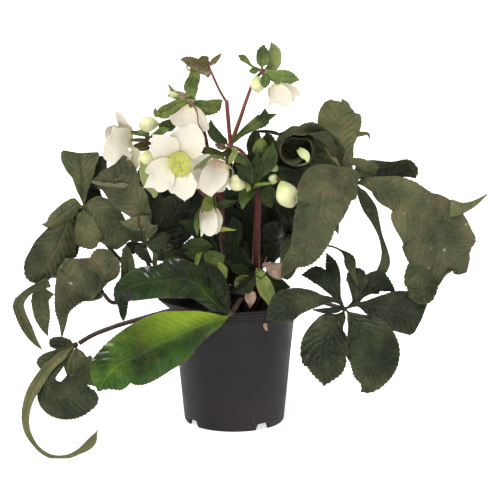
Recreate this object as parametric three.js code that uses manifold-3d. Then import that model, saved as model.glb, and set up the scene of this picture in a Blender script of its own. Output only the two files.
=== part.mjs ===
// A hellebore in a round nursery pot: pedate leaves with long hanging leaflets, two flower stalks
// with whorls of bracts, six ivory blooms and their buds. Millimetres, +Z up, the front is -Y.
// Every position below is measured from the pot's axis at the level the pot stands on.
import * as THREE from "three";
import { mergeVertices } from "three/addons/utils/BufferGeometryUtils.js";
import Module from "manifold-3d";

const wasm = await Module();
wasm.setup();

// Driving dimensions.
const POT_HEIGHT = 131;
const POT_TOP_RADIUS = 63;
const POT_BASE_RADIUS = 51.5;
const POT_WALL = 2;
const POT_SIDES = 32;
const FOOT_HEIGHT = 8;
const LIP_BAND = 13; // height of the thin band below the rim
const LIP_PUSH = 15; // how far the band is pushed out at the left
const SOIL_LEVEL = 119;
const BLADE = 0.8; // thickness of a leaf blade
const SEPAL = 0.8; // thickness of a sepal
const NECK = 1.2; // half-width of a blade where it leaves its knob
const SEAT = 0.3; // gap left between neighbouring pieces
const SEED = 20241;

const COLOURS = {
  pot: { color: 0x4a4446, roughness: 0.62 },
  soil: { color: 0x2b211b, roughness: 0.95 },
  leaf: { color: 0x4d5a45, roughness: 0.55 },
  glossy: { color: 0x4f7a2c, roughness: 0.35 },
  bract: { color: 0x6f8a45, roughness: 0.5 },
  petiole: { color: 0x6b4a3e, roughness: 0.5 },
  stalk: { color: 0x8a5a50, roughness: 0.45 },
  sepal: { color: 0xf4efe2, roughness: 0.5 },
  heart: { color: 0xc9cf3a, roughness: 0.6 },
  bud: { color: 0xeef0c4, roughness: 0.45 },
  dry: { color: 0xb7a287, roughness: 0.8 },
};

// ---- solids ----------------------------------------------------------------

function seeded(seed) {
  let state = seed;
  return () => {
    state = (state * 1664525 + 1013904223) % 4294967296;
    return state / 4294967296;
  };
}

function solid(points, faces) {
  const vertProperties = new Float32Array(points.flatMap((p) => [p.x, p.y, p.z]));
  const triVerts = new Uint32Array(faces.flat());
  return new wasm.Manifold(new wasm.Mesh({ numProp: 3, vertProperties, triVerts }));
}

// A closed three.js geometry as a solid that faces outwards.
function solidOf(geometry) {
  const bare = new THREE.BufferGeometry();
  bare.setAttribute("position", geometry.getAttribute("position"));
  bare.setIndex(geometry.index);
  const merged = mergeVertices(bare, 1e-4);
  const place = merged.getAttribute("position");
  const points = [];
  for (let i = 0; i < place.count; i++) {
    points.push(new THREE.Vector3().fromBufferAttribute(place, i));
  }
  const faces = [];
  const index = merged.index.array;
  for (let i = 0; i < index.length; i += 3) {
    const [a, b, c] = [index[i], index[i + 1], index[i + 2]];
    if (a !== b && b !== c && c !== a) faces.push([a, b, c]);
  }
  const shape = solid(points, faces);
  if (shape.volume() > 0) return shape;
  return solid(points, faces.map(([a, b, c]) => [a, c, b]));
}

function join(solids) {
  return wasm.Manifold.union(solids);
}

// Keeps the biggest connected body: a sealed hollow is filled and loose scrap is dropped.
function oneBody(shape) {
  return shape
    .decompose()
    .reduce((best, body) => (body.volume() > best.volume() ? body : best));
}

function vec(p) {
  return new THREE.Vector3(...p);
}

// Value of a smooth run of numbers, evenly spaced from 0 to 1.
function along(values, u) {
  if (values.length === 1) return values[0];
  const at = u * (values.length - 1);
  const i = Math.min(Math.floor(at), values.length - 2);
  const f = at - i;
  const p0 = values[Math.max(i - 1, 0)];
  const p1 = values[i];
  const p2 = values[i + 1];
  const p3 = values[Math.min(i + 2, values.length - 1)];
  const bend = (2 * p0 - 5 * p1 + 4 * p2 - p3) * f + (3 * (p1 - p2) + p3 - p0) * f * f;
  return 0.5 * (2 * p1 + (p2 - p0) * f + bend * f);
}

// A direction given once, or as a run of directions from base to tip.
function direction(spec, u) {
  const list = Array.isArray(spec[0]) ? spec : [spec];
  return new THREE.Vector3(
    along(list.map((v) => v[0]), u),
    along(list.map((v) => v[1]), u),
    along(list.map((v) => v[2]), u),
  );
}

// A closed thin blade along its midrib. half: half-widths from base to tip; face: the way its
// upper side looks, or across: the way from the midrib to its right-hand edge; fold: degrees
// that the halves are lifted; bow: how far the edges bend down; teeth: depth of the toothing;
// wave: [height, number] of the ripples; skew: how much wider the right-hand half is.
function blade(spec, grow = 0) {
  const { rib, half, face, across, fold = 0, bow = 0, teeth = 0.05, wave, skew = 0 } = spec;
  const steps = spec.steps ?? 4;
  const cols = spec.cols ?? 2;
  const folds = Array.isArray(fold) ? fold : [fold];
  const curve = new THREE.CatmullRomCurve3(rib.map(vec), false, "centripetal");
  const neck = spec.neck ? spec.neck / curve.getLength() : 0;
  const grid = [];
  for (let i = 0; i <= steps; i++) {
    const u = neck && i ? 1 - ((1 - neck) * (steps - i)) / (steps - 1) : i / steps;
    const spine = curve.getPointAt(u);
    const ahead = curve.getTangentAt(u);
    if (i === 0) spine.addScaledVector(ahead, -grow);
    if (i === steps) spine.addScaledVector(ahead, grow);
    const side = across
      ? direction(across, u)
      : new THREE.Vector3().crossVectors(ahead, direction(face, u));
    side.addScaledVector(ahead, -side.dot(ahead)).normalize();
    const up = new THREE.Vector3().crossVectors(side, ahead);
    const inner = i > 0 && i < steps;
    const tooth = inner ? (i % 2 ? teeth : -teeth) : 0;
    const full = neck && i < 2 ? NECK : along(half, u) * (1 + tooth);
    const width = Math.max(full, 0.5) + grow;
    const lift = THREE.MathUtils.degToRad(along(folds, u));
    const row = [];
    for (let j = 0; j <= cols; j++) {
      const v = (2 * j) / cols - 1;
      const reach = Math.abs(v) * width * (1 + skew * Math.sign(v));
      let rise = reach * Math.sin(lift) - bow * width * v * v;
      if (wave) {
        const phase = 2 * Math.PI * wave[1] * u + (v > 0 ? 2 : 0);
        rise += wave[0] * Math.abs(v) * Math.sin(phase);
      }
      const point = spine.clone().addScaledVector(side, Math.sign(v) * reach * Math.cos(lift));
      row.push(point.addScaledVector(up, rise));
    }
    grid.push(row);
  }
  return sheet(grid, (spec.thick ?? BLADE) + 2 * grow);
}

// Thickens a grid of points; both faces are split alike.
function sheet(grid, thick) {
  const rows = grid.length;
  const cols = grid[0].length;
  const top = [];
  const bottom = [];
  for (let i = 0; i < rows; i++) {
    for (let j = 0; j < cols; j++) {
      const along1 = new THREE.Vector3().subVectors(
        grid[i][Math.min(j + 1, cols - 1)],
        grid[i][Math.max(j - 1, 0)],
      );
      const along2 = new THREE.Vector3().subVectors(
        grid[Math.min(i + 1, rows - 1)][j],
        grid[Math.max(i - 1, 0)][j],
      );
      const normal = along1.cross(along2).normalize();
      top.push(grid[i][j].clone().addScaledVector(normal, thick / 2));
      bottom.push(grid[i][j].clone().addScaledVector(normal, -thick / 2));
    }
  }
  const under = top.length;
  const faces = [];
  for (let i = 0; i < rows - 1; i++) {
    for (let j = 0; j < cols - 1; j++) {
      const a = i * cols + j;
      const b = a + 1;
      const c = b + cols;
      const d = a + cols;
      faces.push([a, b, c], [a, c, d]);
      faces.push([under + a, under + c, under + b], [under + a, under + d, under + c]);
    }
  }
  const edge = [];
  for (let j = 0; j < cols - 1; j++) edge.push(j);
  for (let i = 0; i < rows - 1; i++) edge.push(i * cols + cols - 1);
  for (let j = cols - 1; j > 0; j--) edge.push((rows - 1) * cols + j);
  for (let i = rows - 1; i > 0; i--) edge.push(i * cols);
  edge.forEach((p, k) => {
    const q = edge[(k + 1) % edge.length];
    faces.push([under + p, under + q, q], [under + p, q, p]);
  });
  return solid([...top, ...bottom], faces);
}

// A round stem through the given points, its radius following radii from start to end; it ends
// the length stop before the last point.
function stem({ path, radii, sides = 7, steps = 10, stop = 0 }, grow = 0) {
  const whole = new THREE.CatmullRomCurve3(path.map(vec), false, "centripetal");
  const reach = 1 - stop / whole.getLength();
  const kept = [];
  for (let i = 0; i <= 2 * steps; i++) kept.push(whole.getPointAt((reach * i) / (2 * steps)));
  const curve = new THREE.CatmullRomCurve3(kept);
  const frames = curve.computeFrenetFrames(steps, false);
  const points = [];
  const faces = [];
  for (let i = 0; i <= steps; i++) {
    const centre = curve.getPointAt(i / steps);
    if (i === 0) centre.addScaledVector(frames.tangents[i], -grow);
    if (i === steps) centre.addScaledVector(frames.tangents[i], grow);
    const radius = along(radii, i / steps) + grow;
    for (let k = 0; k < sides; k++) {
      const turn = (2 * Math.PI * k) / sides;
      const point = centre.clone();
      point.addScaledVector(frames.normals[i], radius * Math.cos(turn));
      point.addScaledVector(frames.binormals[i], radius * Math.sin(turn));
      points.push(point);
    }
  }
  for (let i = 0; i < steps; i++) {
    for (let k = 0; k < sides; k++) {
      const a = i * sides + k;
      const b = i * sides + ((k + 1) % sides);
      faces.push([a, b, b + sides], [a, b + sides, a + sides]);
    }
  }
  for (let k = 1; k < sides - 1; k++) {
    faces.push([0, k + 1, k]);
    faces.push([steps * sides, steps * sides + k, steps * sides + k + 1]);
  }
  const shape = solid(points, faces);
  if (shape.volume() > 0) return shape;
  return solid(points, faces.map(([a, b, c]) => [a, c, b]));
}

// A small swelling where leaflets, bracts or sepals meet their stem.
function knob({ at, radius }, grow = 0) {
  const ball = new THREE.OctahedronGeometry(1.25 * radius + grow, 0);
  ball.translate(...at);
  return solidOf(ball);
}

// An egg or a bud, turned about the line from its base to its tip.
function egg({ base, tip, radius, rings = 5, sides = 8, taper = 0.25 }, grow = 0) {
  const axis = vec(tip).sub(vec(base));
  const length = axis.length();
  const profile = [new THREE.Vector2(0, -grow)];
  for (let i = 1; i < rings; i++) {
    const t = i / rings;
    const fat = Math.sin(Math.PI * Math.pow(t, 1 + taper));
    profile.push(new THREE.Vector2(radius * Math.pow(fat, 0.7) + grow, t * length));
  }
  profile.push(new THREE.Vector2(0, length + grow));
  const turned = new THREE.LatheGeometry(profile, sides);
  const turn = new THREE.Quaternion();
  turn.setFromUnitVectors(new THREE.Vector3(0, 1, 0), axis.normalize());
  turned.applyQuaternion(turn);
  turned.translate(...base);
  return solidOf(turned);
}

// ---- the pot and its soil ----------------------------------------------------

function potShape() {
  const top = POT_HEIGHT;
  const band = top - LIP_BAND;
  const outer = (z) => POT_BASE_RADIUS + ((POT_TOP_RADIUS - POT_BASE_RADIUS) * z) / band;
  const ridge = (z) => [
    [POT_TOP_RADIUS + 0.9, z],
    [POT_TOP_RADIUS + 0.1, z + 1.7],
  ];
  const profile = [
    [0, FOOT_HEIGHT],
    [POT_BASE_RADIUS - 4, FOOT_HEIGHT],
    [POT_BASE_RADIUS - 3, 0],
    [POT_BASE_RADIUS - 0.8, 0],
    [outer(2), 2],
    [outer(band), band],
    ...ridge(band + 2.4),
    ...ridge(band + 5.8),
    ...ridge(band + 9.2),
    [POT_TOP_RADIUS + 1.4, top - 0.8],
    [POT_TOP_RADIUS - 0.2, top],
    [POT_TOP_RADIUS - POT_WALL + 0.4, top - 1],
    [outer(band) - POT_WALL, band],
    [outer(FOOT_HEIGHT + 3) - POT_WALL, FOOT_HEIGHT + 3],
    [0, FOOT_HEIGHT + 3],
  ];
  const turned = new THREE.LatheGeometry(
    profile.map(([r, z]) => new THREE.Vector2(r, z)),
    POT_SIDES,
  );
  turned.rotateX(Math.PI / 2);
  const place = turned.getAttribute("position");
  for (let i = 0; i < place.count; i++) {
    const p = new THREE.Vector3().fromBufferAttribute(place, i);
    const rise = THREE.MathUtils.smoothstep(p.z, band - 1, top);
    const turnFromLeft = Math.atan2(p.y, -p.x) - 0.1;
    const near = Math.max(0, 1 - Math.abs(turnFromLeft) / 0.85);
    const push = LIP_PUSH * rise * near * near * (3 - 2 * near);
    const radius = Math.hypot(p.x, p.y);
    if (radius > 1) place.setXY(i, p.x * (1 + push / radius), p.y * (1 + push / radius));
  }
  const notches = [];
  for (let k = 0; k < 4; k++) {
    const notch = new THREE.BoxGeometry(10, 20, 2 * (FOOT_HEIGHT - 1));
    notch.translate(0, -POT_BASE_RADIUS, 0);
    notch.rotateZ(THREE.MathUtils.degToRad(36 + 90 * k));
    notches.push(solidOf(notch));
  }
  return solidOf(turned).subtract(join(notches));
}

// The compost fills the pot and is uneven on top.
function soilShape() {
  const band = POT_HEIGHT - LIP_BAND;
  const inside = (z) =>
    POT_BASE_RADIUS + ((POT_TOP_RADIUS - POT_BASE_RADIUS) * z) / band - POT_WALL - SEAT;
  const floor = FOOT_HEIGHT + 3 + SEAT;
  const profile = [
    [0, floor],
    [inside(floor), floor],
    [inside(SOIL_LEVEL - 4), SOIL_LEVEL - 4],
    [38, SOIL_LEVEL - 1],
    [0, SOIL_LEVEL + 1],
  ];
  const turned = new THREE.LatheGeometry(
    profile.map(([r, z]) => new THREE.Vector2(r, z)),
    18,
  );
  turned.rotateX(Math.PI / 2);
  const place = turned.getAttribute("position");
  for (let i = 0; i < place.count; i++) {
    const [x, y, z] = [place.getX(i), place.getY(i), place.getZ(i)];
    const lump = Math.sin(x * 0.19 + 1) * Math.cos(y * 0.23) + 0.6 * Math.sin(x * 0.4 - y * 0.31);
    if (z > SOIL_LEVEL - 2) place.setZ(i, z + 1.2 * lump);
  }
  return solidOf(turned);
}

// ---- the pieces ----------------------------------------------------------------

const FRONT = [0, -1, 0.25];

// Each piece is made from its parts; an earlier piece keeps its shape and a later one is
// let back from it by SEAT where they meet.
const pieces = [];

function piece(name, colour, parts) {
  pieces.push({ name, colour, parts });
}

function petiole(name, path, radii = [3, 2.7, 2.4]) {
  piece(name, "petiole", [{ path, radii, sides: 6, steps: 7, stop: 2.6 }]);
}

// Blades that spread from a knob, each rib going on from the hub; a blade set apart grows from
// the middle of another one instead.
function spread(hub, radius, blades) {
  const rooted = blades.map((part) =>
    part.apart ? part : { ...part, rib: [hub, ...part.rib], neck: radius + 1 },
  );
  return [{ at: hub, radius }, ...rooted];
}

// A pedate leaf: its leaflets spread from a knob on the end of its petiole.
function leaf(name, hub, leaflets, colour = "leaf") {
  piece(name, colour, spread(hub, 4, leaflets));
}



piece("stalk_left", "stalk", [
  { path: [[-4, 2, 108], [-8, -8, 134], [-8, -20, 174], [-12, -28, 208], [-12, -30, 247],
    [-7, -28, 281], [-3, -28, 298]], radii: [3.8, 3.6, 3, 2.6], steps: 10 },
  { path: [[-3, -28, 298], [-5, -26, 319], [-7, -26, 344]], radii: [2.3, 2], sides: 6, steps: 3 },
  { path: [[-7, -26, 342], [-14, -26, 354], [-25, -24, 378]], radii: [1.4, 1.2], sides: 5, steps: 3 },
  { path: [[-3, -28, 298], [7, -24, 326], [15, -22, 349], [21, -22, 364], [29, -24, 373]],
    radii: [2.4, 2, 1.6], sides: 6, steps: 5 },
  { path: [[29, -24, 373], [36, -28, 367], [43, -30, 363]], radii: [1.2, 1.1], sides: 5, steps: 2, stop: 1.8 },
  { path: [[-12, -30, 236], [-22, -16, 271], [-31, -18, 313], [-41, -28, 346]],
    radii: [2.2, 1.8], sides: 6, steps: 5 },
  { path: [[-12, -29, 226], [-40, -16, 255], [-71, -18, 287], [-88, -28, 301], [-103, -36, 298]],
    radii: [2.2, 1.9, 1.6], sides: 6, steps: 6 },
  { path: [[-3, -28, 297], [7, -34, 294], [13, -38, 287], [15, -40, 274], [16, -41, 261]],
    radii: [1.8, 1.6], sides: 6, steps: 5 },
  { path: [[-12, -30, 242], [-19, -40, 251], [-25, -50, 243]], radii: [1.6, 1.4], sides: 5, steps: 3 },
  { path: [[-8, -28, 278], [-10, -46, 284]], radii: [1.5, 1.4], sides: 5, steps: 2 },
  { path: [[-30, -18, 305], [-43, -44, 292], [-52, -68, 286]], radii: [1.6, 1.5], sides: 5, steps: 3 },
]);

piece("stalk_right", "stalk", [
  { path: [[20, 4, 108], [23, -6, 134], [23, -14, 165], [24, -20, 208], [25, -24, 235],
    [25, -26, 256]], radii: [4.6, 4.2, 3.8, 3.2], sides: 8, steps: 7 },
  { path: [[25, -26, 254], [29, -28, 262], [39, -40, 266], [48, -50, 266]],
    radii: [1.8, 1.5], sides: 5, steps: 4 },
  { path: [[29, -28, 262], [39, -35, 262]], radii: [1.4, 1.3], sides: 5, steps: 2, stop: 0.5 },
  { path: [[27, -28, 260], [38, -31, 272]], radii: [1.3, 1.1], sides: 5, steps: 2, stop: 0.5 },
]);

petiole("petiole_a", [[-6, -12, 108], [-8, -34, 133], [-14, -61, 138], [-34, -75, 134],
  [-63, -79, 136], [-88, -81, 130], [-119, -82, 121], [-144, -83, 111], [-159, -84, 102]]);
petiole("petiole_b", [[8, -16, 108], [8, -40, 138], [4, -62, 139], [-2, -73, 132]], [2.6, 2.4]);
petiole("petiole_c", [[20, -14, 108], [30, -20, 136], [60, -45, 144], [85, -60, 142],
  [113, -74, 137]], [2.8, 2.2]);
petiole("petiole_d", [[12, 8, 108], [24, 10, 150], [45, 10, 200], [85, 0, 238], [126, -22, 258]]);
petiole("petiole_e", [[-18, -6, 108], [-30, -12, 134], [-61, -28, 148], [-83, -31, 164],
  [-90, -34, 182], [-92, -36, 198]], [2.8, 2.3]);
petiole("petiole_f", [[-14, 12, 108], [-32, 12, 140], [-78, -2, 152], [-111, -10, 168],
  [-131, -14, 190], [-149, -20, 221], [-155, -24, 233]], [2.8, 2.2]);
petiole("petiole_g", [[-24, 4, 108], [-38, -4, 138], [-77, -24, 141], [-109, -44, 140],
  [-125, -50, 138], [-135, -51, 149]], [2.6, 2.1]);

petiole("petiole_h", [[4, 18, 108], [12, 22, 132], [24, 26, 158]], [2.6, 2.3]);
petiole("petiole_i", [[-16, 24, 108], [-24, 38, 146], [-44, 56, 188]], [2.6, 2.2]);
petiole("petiole_j", [[22, 26, 108], [34, 40, 146], [58, 56, 188]], [2.6, 2.2]);

leaf("leaf_a", [-160, -84, 102], [
  { rib: [[-188, -104, 79], [-208, -124, 52], [-202, -140, 24],
    [-172, -143, 6], [-135, -130, 27]], half: [2, 10, 12, 9, 8, 8, 0.6], across: [0, 1, 0],
    fold: [50, 55, 45, 20, 5, 25, 30], steps: 11 },
  { rib: [[-181, -101, 82], [-192, -112, 68], [-176, -120, 56],
    [-155, -122, 54], [-134, -122, 64]], half: [2, 3, 7, 19, 19, 2], face: FRONT, steps: 7 },
  { rib: [[-149, -88, 84], [-139, -90, 72], [-126, -90, 60]],
    half: [2, 9, 13, 12, 2], face: [-0.3, -1, 0.3] },
  { rib: [[-177, -92, 95], [-191, -90, 85], [-197, -84, 71]],
    half: [2, 7, 9, 5], face: FRONT },
  { rib: [[-176, -90, 102], [-185, -86, 104], [-183, -76, 108],
    [-170, -70, 107]], half: [2, 5, 8, 8, 5], across: [0, 1, 0], steps: 5 },
]);

leaf("leaf_b", [-2, -74, 132], [
  { rib: [[-29, -92, 121], [-63, -110, 111], [-100, -126, 99],
    [-132, -136, 75]], half: [2, 15, 28, 30, 25, 3], face: [-0.1, -0.85, 0.5], bow: 0.12,
    cols: 4, steps: 8, wave: [1.5, 3] },
  { rib: [[-29, -76, 157], [-58, -80, 169], [-90, -76, 167], [-113, -68, 152],
    [-115, -60, 117]], half: [2, 13, 20, 18, 11, 3, 1], face: [-0.1, -0.8, 0.6], bow: 0.15,
    steps: 8 },
  { rib: [[-8, -72, 156], [-22, -70, 171], [-37, -64, 181]],
    half: [2, 8, 13, 10, 2], face: [0.3, -0.9, 0.2] },
], "glossy");

leaf("leaf_c", [113, -75, 137], [
  { rib: [[98, -80, 148], [67, -88, 149], [29, -96, 136]],
    half: [1.5, 8, 15, 15, 2], face: [0, -0.8, 0.6], bow: 0.1, steps: 6 },
  { rib: [[104, -68, 149], [106, -60, 167], [95, -52, 189]],
    half: [1.5, 6, 9, 1], face: [0.4, -0.9, 0.2] },
  { rib: [[103, -70, 151], [90, -68, 165], [69, -66, 169]],
    half: [1.5, 6, 13, 10, 1], face: FRONT },
  { rib: [[123, -68, 145], [121, -58, 158], [111, -50, 174]],
    half: [1.5, 4, 8, 1], face: FRONT },
  { rib: [[124, -68, 145], [140, -58, 159], [164, -50, 150]],
    half: [1.5, 4, 11, 9, 1], face: FRONT },
  { rib: [[124, -68, 145], [129, -56, 160], [142, -48, 169]],
    half: [1.5, 4, 10, 5], face: FRONT },
  { rib: [[131, -74, 143], [155, -66, 136], [176, -58, 130], [194, -50, 122]],
    half: [1.5, 6, 15, 21, 19], face: [0.1, -0.9, 0.3], steps: 5 },
  { rib: [[128, -88, 124], [138, -100, 103], [136, -108, 82], [128, -112, 60]],
    half: [1.5, 14, 26, 28, 20, 3], face: [0, -1, 0.35], bow: 0.1, steps: 7 },
  { rib: [[103, -92, 121], [92, -104, 104], [89, -112, 85], [92, -116, 69]],
    half: [1.5, 12, 21, 23, 16, 3], face: [0, -1, 0.35], bow: 0.1, steps: 6 },
  { apart: true, rib: [[127, -60, 158], [121, -52, 173], [117, -48, 186], [103, -44, 195],
    [87, -40, 196]], half: [1, 3, 6, 1.5, 1, 1], face: FRONT },
]);

leaf("leaf_d", [126, -22, 258], [
  { rib: [[103, -46, 261], [86, -60, 242], [76, -66, 212], [65, -66, 188],
    [49, -62, 168]], half: [8, 15, 26, 24, 20, 17, 3], face: [-0.1, -1, 0.25],
    bow: 0.15, steps: 8 },
  { rib: [[136, -34, 230], [151, -40, 202], [157, -40, 181], [148, -34, 160]],
    half: [2, 6, 5, 2.5, 6, 4, 0.6], face: [-0.3, -1, 0], steps: 7 },
  { rib: [[166, -32, 249], [193, -42, 227], [207, -46, 197], [215, -40, 163]],
    half: [8, 19, 31, 37, 35, 25], face: [0.1, -0.95, 0.3], bow: 0.12, steps: 8,
    wave: [1.5, 2] },
  { apart: true, rib: [[200, -50, 214], [222, -34, 227], [245, -27, 238], [262, -20, 246]],
    half: [6, 7, 4, 0.6], face: [0.2, -0.8, 0.6] },
  { rib: [[136, -8, 272], [161, 2, 271], [182, 8, 272], [191, 10, 255]],
    half: [2, 6, 9, 10, 5], face: [0.2, -0.7, 0.7] },
  { apart: true, rib: [[206, -46, 198], [200, -36, 170], [188, -58, 143], [179, -74, 112]],
    half: [8, 17, 15, 13, 8], face: [0.1, -1, 0.1], steps: 5 },
  { rib: [[116, -4, 284], [114, 6, 309], [111, 10, 327], [113, 12, 342]],
    half: [2, 6, 13, 21, 21, 7], face: [0, -1, 0.2], bow: 0.1, steps: 6 },
  { rib: [[123, -14, 275], [129, -8, 292], [132, -10, 308], [139, -14, 303]],
    half: [1.5, 1.5, 2, 3, 0.6], face: FRONT, steps: 4 },
  { rib: [[112, -20, 290], [94, -26, 309], [73, -34, 316], [53, -42, 312],
    [45, -46, 296], [51, -46, 280], [68, -46, 277], [80, -46, 288], [79, -46, 303],
    [66, -46, 308], [57, -46, 298], [61, -46, 288]],
    half: [2, 6, 7, 9, 10, 11, 11, 11, 10, 9, 8, 7, 5], across: [0.3, 0.9, 0.2], steps: 14 },
  { apart: true, rib: [[60, -46, 289], [69, -51, 291], [76, -54, 289]], half: [3, 4, 1],
    face: FRONT, steps: 4 },
  { rib: [[120, -12, 267], [106, -4, 279], [85, 0, 285]], half: [2, 5, 11, 10, 2], face: FRONT,
    steps: 4 },
]);

leaf("leaf_e", [-92, -37, 198], [
  { rib: [[-89, -42, 223], [-99, -50, 253], [-121, -56, 264],
    [-144, -58, 266]], half: [2, 13, 25, 24, 11, 1], face: [0, -1, 0.3], bow: 0.12,
    skew: 0.2, steps: 8 },
  { rib: [[-103, -44, 214], [-117, -52, 227]], half: [1.5, 6, 6, 1], face: FRONT },
  { rib: [[-79, -46, 214], [-62, -50, 219], [-47, -48, 209]],
    half: [1.5, 7, 8, 5, 1], face: FRONT },
  { rib: [[-78, -30, 224], [-60, -30, 239], [-43, -30, 246]],
    half: [2, 12, 17, 12, 3], face: FRONT },
  { rib: [[-79, -42, 199], [-71, -46, 190], [-71, -46, 176]],
    half: [2, 10, 13, 9, 1], face: FRONT },
  { rib: [[-69, -32, 201], [-57, -32, 190], [-58, -30, 170]],
    half: [2, 8, 10, 6, 1], face: FRONT },
  { rib: [[-108, -38, 190], [-110, -38, 177], [-105, -36, 162]],
    half: [2, 7, 8, 7, 1], face: FRONT },
]);

leaf("leaf_f", [-155, -25, 233], [
  { rib: [[-160, -20, 257], [-157, -10, 280], [-148, 2, 286],
    [-139, 10, 272], [-141, 14, 257]], half: [2, 12, 22, 22, 17, 12, 2], across: [1, 0.1, 0],
    steps: 8 },
  { rib: [[-141, -34, 229], [-131, -40, 210], [-119, -42, 192]],
    half: [2, 15, 20, 19, 12], face: [-0.1, -1, 0.3], bow: 0.12, steps: 5 },
  { rib: [[-174, -36, 231], [-193, -42, 220]], half: [2, 8, 10, 8, 2],
    face: [-0.2, -0.5, 0.8], fold: -25 },
  { rib: [[-170, -22, 207], [-173, -22, 175]], half: [2, 12, 13, 8, 1],
    face: FRONT },
  { rib: [[-182, -44, 214], [-197, -56, 192], [-203, -60, 160]],
    half: [3, 14, 19, 19, 14], face: [-0.3, -0.9, 0.2], bow: 0.15, steps: 6 },
]);

leaf("leaf_g", [-135, -52, 149], [
  { rib: [[-149, -54, 165], [-165, -56, 161], [-172, -60, 141],
    [-174, -66, 112]], half: [2, 14, 21, 14, 4, 3, 1], face: [-0.2, -0.9, 0.3], steps: 7 },
  { rib: [[-123, -60, 168], [-130, -62, 187], [-142, -60, 195]],
    half: [2, 12, 16, 12, 4], face: FRONT, steps: 5 },
  { rib: [[-152, -50, 146], [-173, -48, 143]], half: [1.5, 5, 4, 1],
    face: FRONT },
  { rib: [[-165, -42, 156], [-195, -44, 156], [-218, -50, 148],
    [-226, -54, 133], [-218, -56, 110], [-197, -56, 90]], half: [2, 4, 4, 6, 7, 6, 1],
    face: FRONT, steps: 8 },
  { rib: [[-181, -46, 157], [-199, -50, 145], [-201, -54, 126],
    [-191, -56, 105]], half: [2, 8, 11, 9, 1], face: FRONT, steps: 5 },
]);

leaf("leaf_h", [24, 26, 160], [
  { rib: [[13, 28, 190], [6, 30, 214], [0, 28, 238]], half: [2, 14, 17, 12, 1], face: FRONT },
  { rib: [[38, 26, 182], [49, 24, 208], [56, 20, 236]], half: [2, 15, 18, 12, 1], face: FRONT },
  { rib: [[34, 52, 182], [40, 84, 182], [38, 108, 154]], half: [2, 14, 20, 16, 1],
    face: [0.2, 0.5, 0.8] },
  { rib: [[12, 50, 184], [0, 80, 186], [-8, 106, 160]], half: [2, 14, 20, 15, 1],
    face: [-0.2, 0.5, 0.8] },
]);

leaf("leaf_i", [-44, 56, 190], [
  { rib: [[-46, 44, 214], [-48, 32, 234], [-46, 24, 250]], half: [2, 12, 16, 11, 1], face: FRONT },
  { rib: [[-68, 62, 212], [-96, 66, 212], [-120, 68, 188]], half: [2, 14, 19, 15, 1],
    face: [-0.4, 0.3, 0.9] },
  { rib: [[-60, 82, 208], [-78, 108, 200], [-86, 126, 166]], half: [2, 14, 20, 15, 1],
    face: [-0.4, 0.5, 0.8] },
  { rib: [[-40, 82, 212], [-34, 110, 210], [-30, 132, 180]], half: [2, 13, 18, 14, 1],
    face: [0.1, 0.5, 0.9] },
]);

leaf("leaf_j", [58, 56, 190], [
  { rib: [[66, 60, 214], [76, 60, 236], [82, 58, 252]], half: [2, 10, 15, 11, 1], face: FRONT },
  { rib: [[78, 70, 210], [100, 82, 208], [114, 90, 182]], half: [2, 13, 18, 14, 1],
    face: [0.4, 0.3, 0.9] },
  { rib: [[68, 84, 208], [80, 112, 202], [84, 130, 168]], half: [2, 13, 18, 14, 1],
    face: [0.3, 0.5, 0.9] },
]);

// Sepals, bracts and buds.
function sepal(rib, half, face, extra = {}) {
  return { rib, half, face, thick: SEPAL, teeth: 0, steps: 4, bow: -0.25, ...extra };
}

function bract(rib, half, face = FRONT, extra = {}) {
  const cols = Math.max(...half) > 5 ? 2 : 1;
  return { rib, half, face, cols, steps: 3, teeth: 0.08, fold: 12, ...extra };
}

// A bloom: sepals round a knob on the end of its pedicel.
function bloom(name, hub, sepals) {
  piece(name, "sepal", spread(hub, 3.5, sepals));
}

// A whorl of bracts round a stem.
function whorl(name, hub, bracts, colour = "bract") {
  piece(name, colour, spread(hub, 4, bracts));
}

function bud(name, base, tip, radius) {
  const fine = radius > 6 ? { rings: 5, sides: 8 } : { rings: 4, sides: 6 };
  piece(name, "bud", [{ base, tip, radius, ...fine }]);
}

// The stamens of the open bloom stand round its pale styles in a ring.
function stamens(centre, ways, count, length) {
  const axis = vec(ways).normalize();
  const first = new THREE.Vector3().crossVectors(axis, new THREE.Vector3(0, 0, 1)).normalize();
  const second = new THREE.Vector3().crossVectors(axis, first);
  const draw = seeded(SEED);
  const parts = [{ at: centre, radius: 3.2 }];
  for (let k = 0; k < count; k++) {
    const turn = (2 * Math.PI * k) / count;
    const open = 0.75 + 0.35 * draw();
    const out = first.clone().multiplyScalar(Math.cos(turn));
    out.addScaledVector(second, Math.sin(turn));
    const reach = out.multiplyScalar(open).addScaledVector(axis, 0.75 - 0.35 * open);
    const ends = [0.18, 1].map((t) => vec(centre).addScaledVector(reach, t * length).toArray());
    parts.push({ path: ends, radii: [0.6, 1], sides: 3, steps: 1 });
  }
  return parts;
}

const FULL = { cols: 4, steps: 4 };
bloom("bloom_front", [-52, -70, 286], [
  sepal([[-61, -74, 302], [-75, -80, 317]], [3, 14, 17, 14, 5], [-0.1, -1, 0], FULL),
  sepal([[-45, -72, 303], [-36, -76, 320]], [3, 14, 18, 16, 5], [0, -1, 0], FULL),
  sepal([[-67, -76, 276], [-86, -84, 265]], [3, 13, 16, 14, 4], [-0.1, -1, 0.1], FULL),
  sepal([[-50, -76, 270], [-50, -85, 250]], [3, 10, 14, 12, 5], [0, -1, 0.2], FULL),
  sepal([[-37, -64, 288], [-21, -60, 291]], [3, 8, 8, 4, 1], [0.3, -0.8, 0.6]),
]);
piece("heart_front", "heart", stamens([-52, -75, 286], [-0.05, -1, 0.05], 14, 11));

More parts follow.
